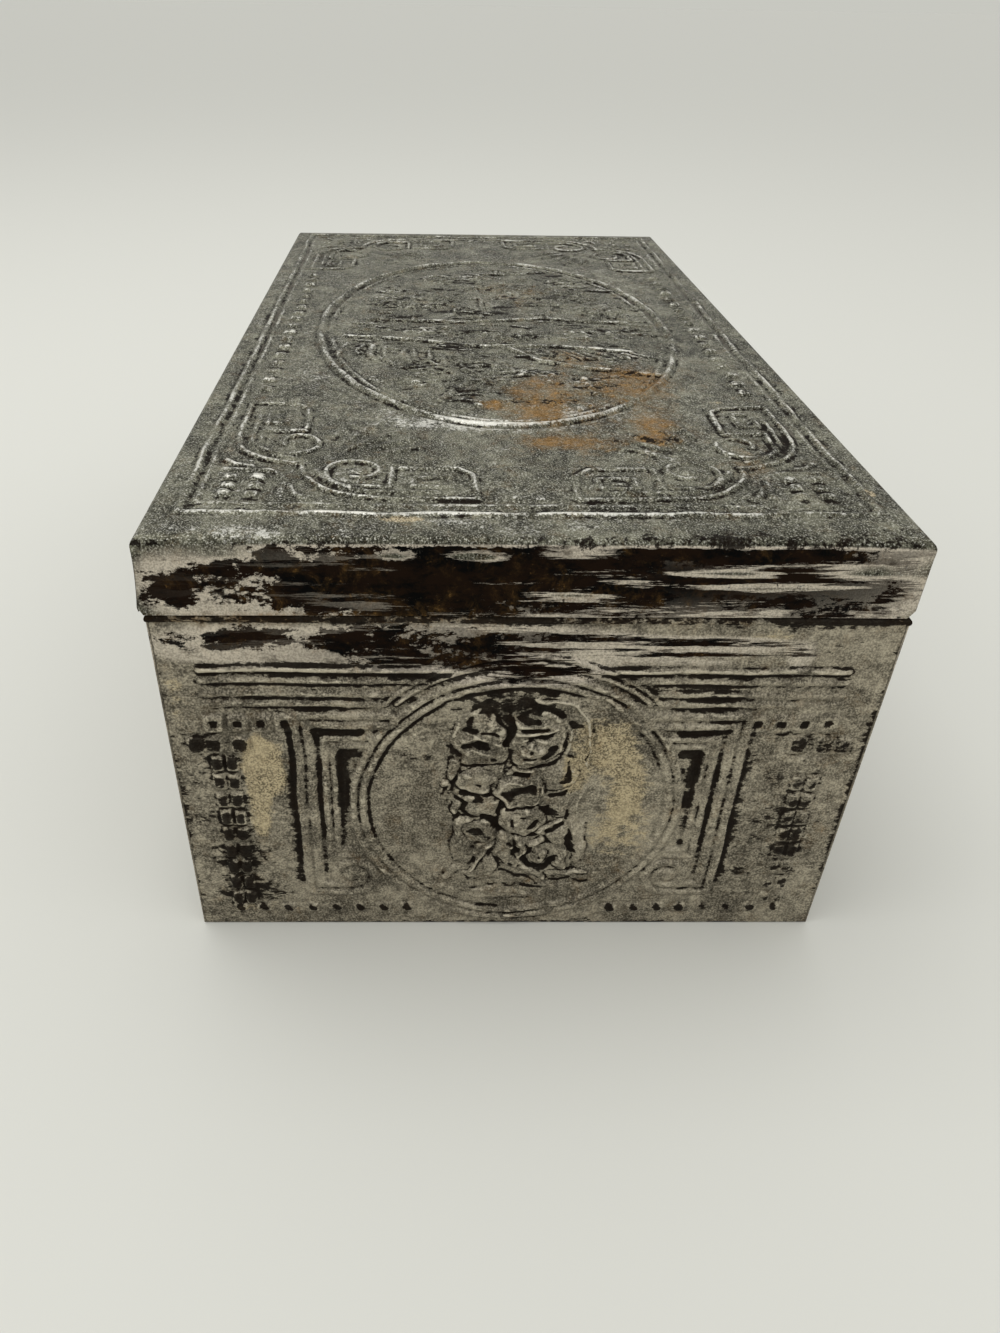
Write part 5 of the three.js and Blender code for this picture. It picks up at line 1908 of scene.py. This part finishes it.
@dataclass
class LidShell(Piece):
    """The embossed lid with its four folded sides."""

    fold: float = 1.5
    cell: float = 2
    limits: tuple[Point, ...] = ((0.05, 0.3), (0.13, NEVER), (0.46, NEVER))
    fold_rows: int = 5
    skirt_rows: int = 9
    slit: float = 0.13
    snip: float = 0.9
    snip_height: float = 1.3
    corner_ease: float = 3
    flare_depth: float = 0.9
    flare_length: float = 30

    @property
    def half_u(self) -> float:
        """Half the flat top's length."""
        return SIZES.length / 2 + SIZES.lid_overhang - self.fold

    @property
    def half_v(self) -> float:
        """Half the flat top's width."""
        return SIZES.width / 2 + SIZES.lid_overhang - self.fold

    @property
    def fold_length(self) -> float:
        """Length of sheet in each fold."""
        return self.fold * math.pi / 2

    @property
    def skirt(self) -> float:
        """Height of the straight part of the sides."""
        return SIZES.lid_height - self.fold

    def lines(self, half: float) -> Array:
        """Spaces the grid lines across the lid, finer in the folds.

        Args:
            half: Half the flat top.

        Returns:
            The lines.
        """
        flat = even_lines(-half, half, self.cell)
        fold = even_lines(0, self.fold_length, self.fold_length / self.fold_rows)[1:]
        skirt = even_lines(0, self.skirt, self.skirt / self.skirt_rows)[1:] + self.fold_length
        edge = np.concatenate([fold, skirt]) + half
        return np.concatenate([-edge[::-1], flat, edge])

    def blank(self) -> Blank:
        """Cuts the flat blank without its corners."""
        return Blank(self.node, self.lines(self.half_u), self.lines(self.half_v),
                     lambda u, v: (np.abs(u) > self.half_u) & (np.abs(v) > self.half_v))

    def fold_side(self, past: Array, across: Array, halves: Point, lift: Array) -> list[Array]:
        """Folds one pair of opposite sides down.

        Args:
            past: How far each vertex lies beyond the fold line.
            across: Its signed place along the fold line.
            halves: Half the flat top, across and along the fold line.
            lift: Its height over the outer face.

        Returns:
            Its place out from the middle, along the fold line, and its height.
        """
        angle = np.clip(past / self.fold, 0, math.pi / 2)
        straight = np.maximum(past - self.fold_length, 0)
        reach = self.fold + lift
        up = SIZES.lid_top_z - self.fold + reach * np.cos(angle) - straight
        ease, low = self.corner_ease, self.snip_height
        near = np.clip((np.abs(across) - halves[1] + ease) / ease, 0, 1)
        gap = self.slit * smooth(straight, 0, 2) + 0.01
        gap = gap + self.snip * np.clip(straight - self.skirt + low, 0, low) / low
        along = across + np.sign(across) * near * (reach * np.sin(angle) - gap)
        return [halves[0] + reach * np.sin(angle), along, up]

    def bend(self, u: Array, v: Array, lift: Array) -> Array:
        """Folds the four sides down.

        Args:
            u: Each vertex's u.
            v: Each vertex's v.
            lift: Its height over the outer face.

        Returns:
            The places, in millimetres.
        """
        points = np.stack([u, v, SIZES.lid_top_z + lift], axis=1)
        halves = self.half_u, self.half_v
        for axis, (outer, along) in enumerate(((u, v), (v, u))):
            past = np.abs(outer) - halves[axis]
            beyond = past > 1e-3
            folded = self.fold_side(past[beyond], along[beyond], (halves[axis], halves[1 - axis]),
                                    lift[beyond])
            points[beyond, axis] = np.sign(outer[beyond]) * folded[0]
            points[beyond, 1 - axis], points[beyond, 2] = folded[1:]
        return points

    def handle(self, points: Array) -> Array:
        """Bends the sides as years of use have: a flared near corner and slow waves.

        Args:
            points: The vertices' places, in millimetres.

        Returns:
            The bent places.
        """
        x, y, z = points.T
        down = np.clip((SIZES.lid_top_z - 2 - z) / (SIZES.lid_height - 2), 0, 1)
        near = np.exp(-(((x - SIZES.length / 2) / self.flare_length) ** 2))
        flare = (y < 1 - SIZES.width / 2) * self.flare_depth * near * down**2
        points[:, 1] -= flare
        end = (np.abs(x) > SIZES.length / 2 - 1) * np.sign(x)
        points[:, 0] += end * 0.12 * down * np.sin(points[:, 1] / 11 + 0.8)
        return points

    def worn(self, points: Array) -> dict[Layer, Array]:
        """Works out the lid's wear, and the painted shade round its fold, from where its vertices stand.

        Args:
            points: The vertices' places, in millimetres.

        Returns:
            The strength of each kind of wear and painted shade.
        """
        x, y, z = points.T
        top_z = SIZES.lid_top_z
        down = smooth(z, top_z - 0.5, top_z - 1.8)
        top, end = gather_wear(LID_TOP_WEAR_AND_PAINTED_LIGHT, x, y), gather_wear(SKIRT_WEAR, y, z)
        others = gather_wear((), x, y)
        others[Layer.TORN] += 0.62 + 0.2 * np.sin(x / 13) * np.cos(y / 9)
        others[Layer.STREAK] += 0.8
        near_end = x > SIZES.length / 2 - 1.2
        worn = {layer: top[layer] * (1 - down)
                + np.where(near_end, end[layer], others[layer]) * down for layer in Layer}
        # Painted shade in a band round the fold, where the top turns down into the sides.
        fold = smooth(z, top_z - 0.3, top_z - 0.9) * smooth(z, top_z - 2, top_z - 1.2)
        worn[Layer.STAIN] += 0.25 * fold
        return worn

    def build(self) -> bpy.types.Object:
        """Builds the lid.

        Returns:
            The finished piece.
        """
        relief = LidDesign(self.half_u, self.half_v).relief
        blank = self.blank()
        blank.refine(relief, self.limits, lambda u, v: 0.45 + 0.55 * smooth(u, -40, 60))
        u, v, depth = blank.flat()
        hold = smooth(self.half_u - np.abs(u), 0, 2) * smooth(self.half_v - np.abs(v), 0, 2)
        waves = 0.25 * np.sin(u / 31 + 1.2) * np.cos(v / 24 + 0.4)
        height = hold * (relief.sample(relief.height, u, v) + waves)
        points = self.handle(self.bend(u, v, depth + height))
        return blank.finish(points, relief, self.worn(points))


@dataclass
class RimWire(Piece):
    """The iron wire inside the rolled rim."""

    radius: float = 0.4
    bend: float = 1.2
    rings_a_corner: int = 7
    sides: int = 14

    def build(self) -> bpy.types.Object:
        """Builds the wire: a ring whose four quarters are drawn out to the corners.

        Returns:
            The finished piece.
        """
        rings = 4 * self.rings_a_corner
        deselect_all()
        bpy.ops.mesh.primitive_torus_add(major_radius=self.bend, minor_radius=self.radius,
                                         major_segments=rings, minor_segments=self.sides)
        piece = bpy.context.object
        x, y, z = read_rows(piece.data.vertices, "co").T
        turn = np.mod(np.arctan2(y, x), 2 * math.pi)
        ring = np.rint(turn / (2 * math.pi) * rings).astype(int) % rings
        quarter, step = ring // self.rings_a_corner, ring % self.rings_a_corner
        angle = (quarter + step / (self.rings_a_corner - 1)) * math.pi / 2
        reach = np.hypot(x, y)
        half_x = SIZES.length / 2 - SIZES.rim_inset - self.bend
        half_y = SIZES.hinge_y - self.bend
        x = np.where((quarter == 0) | (quarter == 3), half_x, -half_x) + reach * np.cos(angle)
        y = np.where(quarter < 2, half_y, -half_y) + reach * np.sin(angle)
        return close_up(piece, np.stack([x, y, z + SIZES.rim_z], axis=1), 60)


@dataclass
class HingeStrap(Piece):
    """A tin strap that turns on the rim wire and lies inside the lid's back."""

    x: float = 0
    leaf_height: float = 9.5
    wrap: float = 318
    steps: int = 28
    soft_edge: float = 0.06

    def section(self) -> list[Point]:
        """Lists the strap's outline as (y, z) from the wire's middle.

        Returns:
            The outline.
        """
        bore, outer = SIZES.bore_radius, SIZES.bore_radius + SIZES.strap_sheet
        face = SIZES.width / 2 + SIZES.lid_overhang - SIZES.sheet - SIZES.seam - SIZES.hinge_y
        back = face - SIZES.strap_sheet
        start = math.degrees(math.acos(face / outer))
        inner_start = math.degrees(math.acos(min(back / bore, 1))) - 12
        return [(face, self.leaf_height), *arc((0, 0), outer, start, start - self.wrap, self.steps),
                *arc((0, 0), bore, start - self.wrap, inner_start, self.steps), (back, outer),
                (back, self.leaf_height)]

    def build(self) -> bpy.types.Object:
        """Builds the strap by drawing its section out along the wire.

        Returns:
            The finished piece.
        """
        outline, half = self.section(), SIZES.strap_width / 2
        deselect_all()
        bpy.ops.mesh.primitive_circle_add(vertices=len(outline), radius=1, fill_type="NGON")
        piece = bpy.context.object
        set_coordinates(piece.data, np.array([(-half, y, z) for y, z in outline]))
        with editing(piece):
            bpy.ops.mesh.select_all(action="SELECT")
            bpy.ops.mesh.extrude_region_move(TRANSFORM_OT_translate={"value": (2 * half, 0, 0)})
        face_outwards(piece)
        bevel = piece.modifiers.new("soft edges", "BEVEL")
        bevel.width = self.soft_edge
        bevel.segments = 2
        bevel.limit_method = "ANGLE"
        bevel.angle_limit = math.radians(50)
        bpy.ops.object.modifier_apply(modifier=bevel.name)
        points = read_rows(piece.data.vertices, "co")
        return close_up(piece, points + (self.x, SIZES.hinge_y, SIZES.rim_z), 40)


@dataclass
class Rivet(Piece):
    """A small domed rivet that holds a strap to the lid."""

    head: float = 1.4
    shank: float = 0.62
    dome: float = 0.5
    waist: float = 0.15

    def build(self) -> bpy.types.Object:
        """Builds the rivet: a shank with a domed head outside and a flatter one inside.

        Returns:
            The finished piece.
        """
        low, high = (Vector(corner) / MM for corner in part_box(self.node))
        middle = (low + high) / 2
        deselect_all()
        bpy.ops.mesh.primitive_uv_sphere_add(segments=24, ring_count=16, radius=1)
        piece = bpy.context.object
        x, y, z = read_rows(piece.data.vertices, "co").T
        turn, waist = np.arctan2(y, x), self.waist
        outer, inner = high.y - self.dome, low.y + self.dome * 0.8
        up, down = (np.clip((way * z - waist) / (1 - waist), 0, 1) for way in (1, -1))
        place = np.select([z > waist, z < -waist],
                          [outer + self.dome * up**0.5, inner - self.dome * 0.8 * down**0.35],
                          (outer + inner) / 2)
        reach = np.where(np.abs(z) > waist, self.head * np.hypot(x, y), self.shank)
        points = [middle.x + reach * np.cos(turn), place, middle.z + reach * np.sin(turn)]
        return close_up(piece, np.stack(points, axis=1), 40)


# Camera and studio


@dataclass(frozen=True)
class Viewpoint:
    """Where the photograph was taken from, worked out from the box's own edges."""

    place: Colour = (0.2374, -0.0163, 0.1505)
    pitch: float = 35.08
    yaw: float = 1.17
    roll: float = 0.91
    focal_pixels: float = 951.3
    axis_from_left: float = 441.9
    image: tuple[int, int] = (1000, 1333)
    sensor: float = 36

    def build(self) -> None:
        """Builds the camera and makes it the scene's own."""
        camera = bpy.data.cameras.new("photo_camera")
        camera.sensor_width = self.sensor
        camera.lens = self.focal_pixels / self.image[1] * self.sensor
        camera.shift_x = (self.image[0] / 2 - self.axis_from_left) / self.image[1]
        camera.clip_start, camera.clip_end = 0.01, 60
        holder = bpy.data.objects.new("photo_camera", camera)
        bpy.context.scene.collection.objects.link(holder)
        matrix = Matrix.Translation(self.place)
        for angle, axis in ((90 - self.yaw, "Z"), (90 - self.pitch, "X"), (self.roll, "Z")):
            matrix @= Matrix.Rotation(math.radians(angle), 4, axis)
        holder.matrix_world = matrix
        bpy.context.scene.camera = holder


@dataclass(frozen=True)
class Lamp:
    """A square lamp that looks at the box."""

    name: str
    place: Colour
    size: float
    power: float
    target: Colour = (0, 0, 0.04)

    def build(self) -> None:
        """Hangs the lamp."""
        light = bpy.data.lights.new(self.name, "AREA")
        light.shape = "SQUARE"
        light.size = self.size
        light.energy = self.power
        lamp = bpy.data.objects.new(self.name, light)
        bpy.context.scene.collection.objects.link(lamp)
        lamp.location = self.place
        away = Vector(self.place) - Vector(self.target)
        lamp.rotation_euler = away.to_track_quat("Z", "Y").to_euler()


@dataclass(frozen=True)
class Studio:
    """A pale floor in a soft white room, with two large lamps."""

    floor_colour: Colour = (0.62, 0.62, 0.575)
    haze_colour: Colour = (0.574, 0.576, 0.529)
    room_colour: Colour = (1, 1, 0.985)
    wall_light: float = 0.6
    ceiling_light: float = 1.02
    floor_size: float = 60
    lamps: tuple[Lamp, ...] = (Lamp("overhead_lamp", (-0.02, -0.22, 1), 0.7, 3.4),
                               Lamp("left_lamp", (0.3, -0.8, 0.6), 0.5, 0.5))

    def floor(self) -> None:
        """Lays the floor."""
        deselect_all()
        bpy.ops.mesh.primitive_plane_add(size=self.floor_size, location=(0, 0, -0.0002))
        floor = bpy.context.object
        floor.name = floor.data.name = "pale_floor"
        material = bpy.data.materials.new("pale_floor")
        material.use_nodes = True
        inputs = material.node_tree.nodes["Principled BSDF"].inputs
        inputs["Base Color"].default_value = (*self.floor_colour, 1)
        inputs["Roughness"].default_value = 0.9
        inputs["Specular IOR Level"].default_value = 0.1
        floor.data.materials.append(material)

    def room(self) -> None:
        """Lights the scene softly from all sides, most of all from above."""
        world = bpy.data.worlds.new("soft_room")
        world.use_nodes = True
        nodes = Nodes(world.node_tree)
        way = nodes.add("SeparateXYZ", {0: nodes.add("TexCoord").outputs["Generated"]})
        light = nodes.ease(way.outputs["Z"], 0, 0.9, self.wall_light, self.ceiling_light)
        seen = nodes.add("LightPath").outputs["Is Camera Ray"]
        inputs = world.node_tree.nodes["Background"].inputs
        nodes.feed(inputs["Color"], nodes.mix(seen, self.room_colour, self.haze_colour))
        nodes.feed(inputs["Strength"], nodes.blend(seen, light, 1))
        bpy.context.scene.world = world

    def build(self) -> None:
        """Builds the floor, the room and the lamps."""
        self.floor()
        self.room()
        for lamp in self.lamps:
            lamp.build()


# The whole box


@dataclass
class HingedBox:
    """All the pieces of the box, on the frame's two bodies."""

    palette: Palette = field(default_factory=Palette)

    def walls(self) -> list[Wall]:
        """Lists the four walls.

        Returns:
            The walls.
        """
        near = Wall.on(Side.NEAR_END, cell=1.3, limits=((0.03, 0.2), (0.08, NEVER), (0.3, NEVER)),
                       coarser=0.5, pitch=0.1, worn_right=0.55, wear=NEAR_WALL_WEAR_AND_PAINTED_LIGHT)
        seeds = {Side.FAR_END: 8, Side.FRONT: 13, Side.BACK: 21}
        return [near, *(Wall.on(side, seed=seed) for side, seed in seeds.items())]

    def hardware(self) -> list[Piece]:
        """Lists the wire, the hinge straps and the rivets.

        Returns:
            The pieces.
        """
        pieces: list[Piece] = [RimWire("rim_wire", "body", "rim_wire", Finish.WIRE_IRON)]
        for name, x in (("near", SIZES.strap_x), ("far", -SIZES.strap_x)):
            pieces.append(HingeStrap(f"hinge_strap_{name}", "lid", "hinge", Finish.STRAP_TIN, x))
        for i in range(1, 5):
            pieces.append(Rivet(f"hinge_rivet_{i}", "lid", "hinge", Finish.STRAP_TIN))
        return pieces

    def build(self) -> None:
        """Builds and dresses every piece."""
        lid = LidShell("lid_shell", "lid", "lid_plate", Finish.LID_PLATE)
        for piece in [*self.walls(), lid, *self.hardware()]:
            piece.dress(piece.build(), self.palette)
        self.palette.cover(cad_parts["bottom_plate"], Finish.BOTTOM_TIN)


def main() -> None:
    """Builds the scene."""
    logging.basicConfig(level=logging.INFO, format="%(name)s: %(message)s", stream=sys.stdout)
    bpy.context.scene.view_settings.view_transform = "Standard"
    Viewpoint().build()
    Studio().build()
    HingedBox().build()


if __name__ == "__main__":
    main()
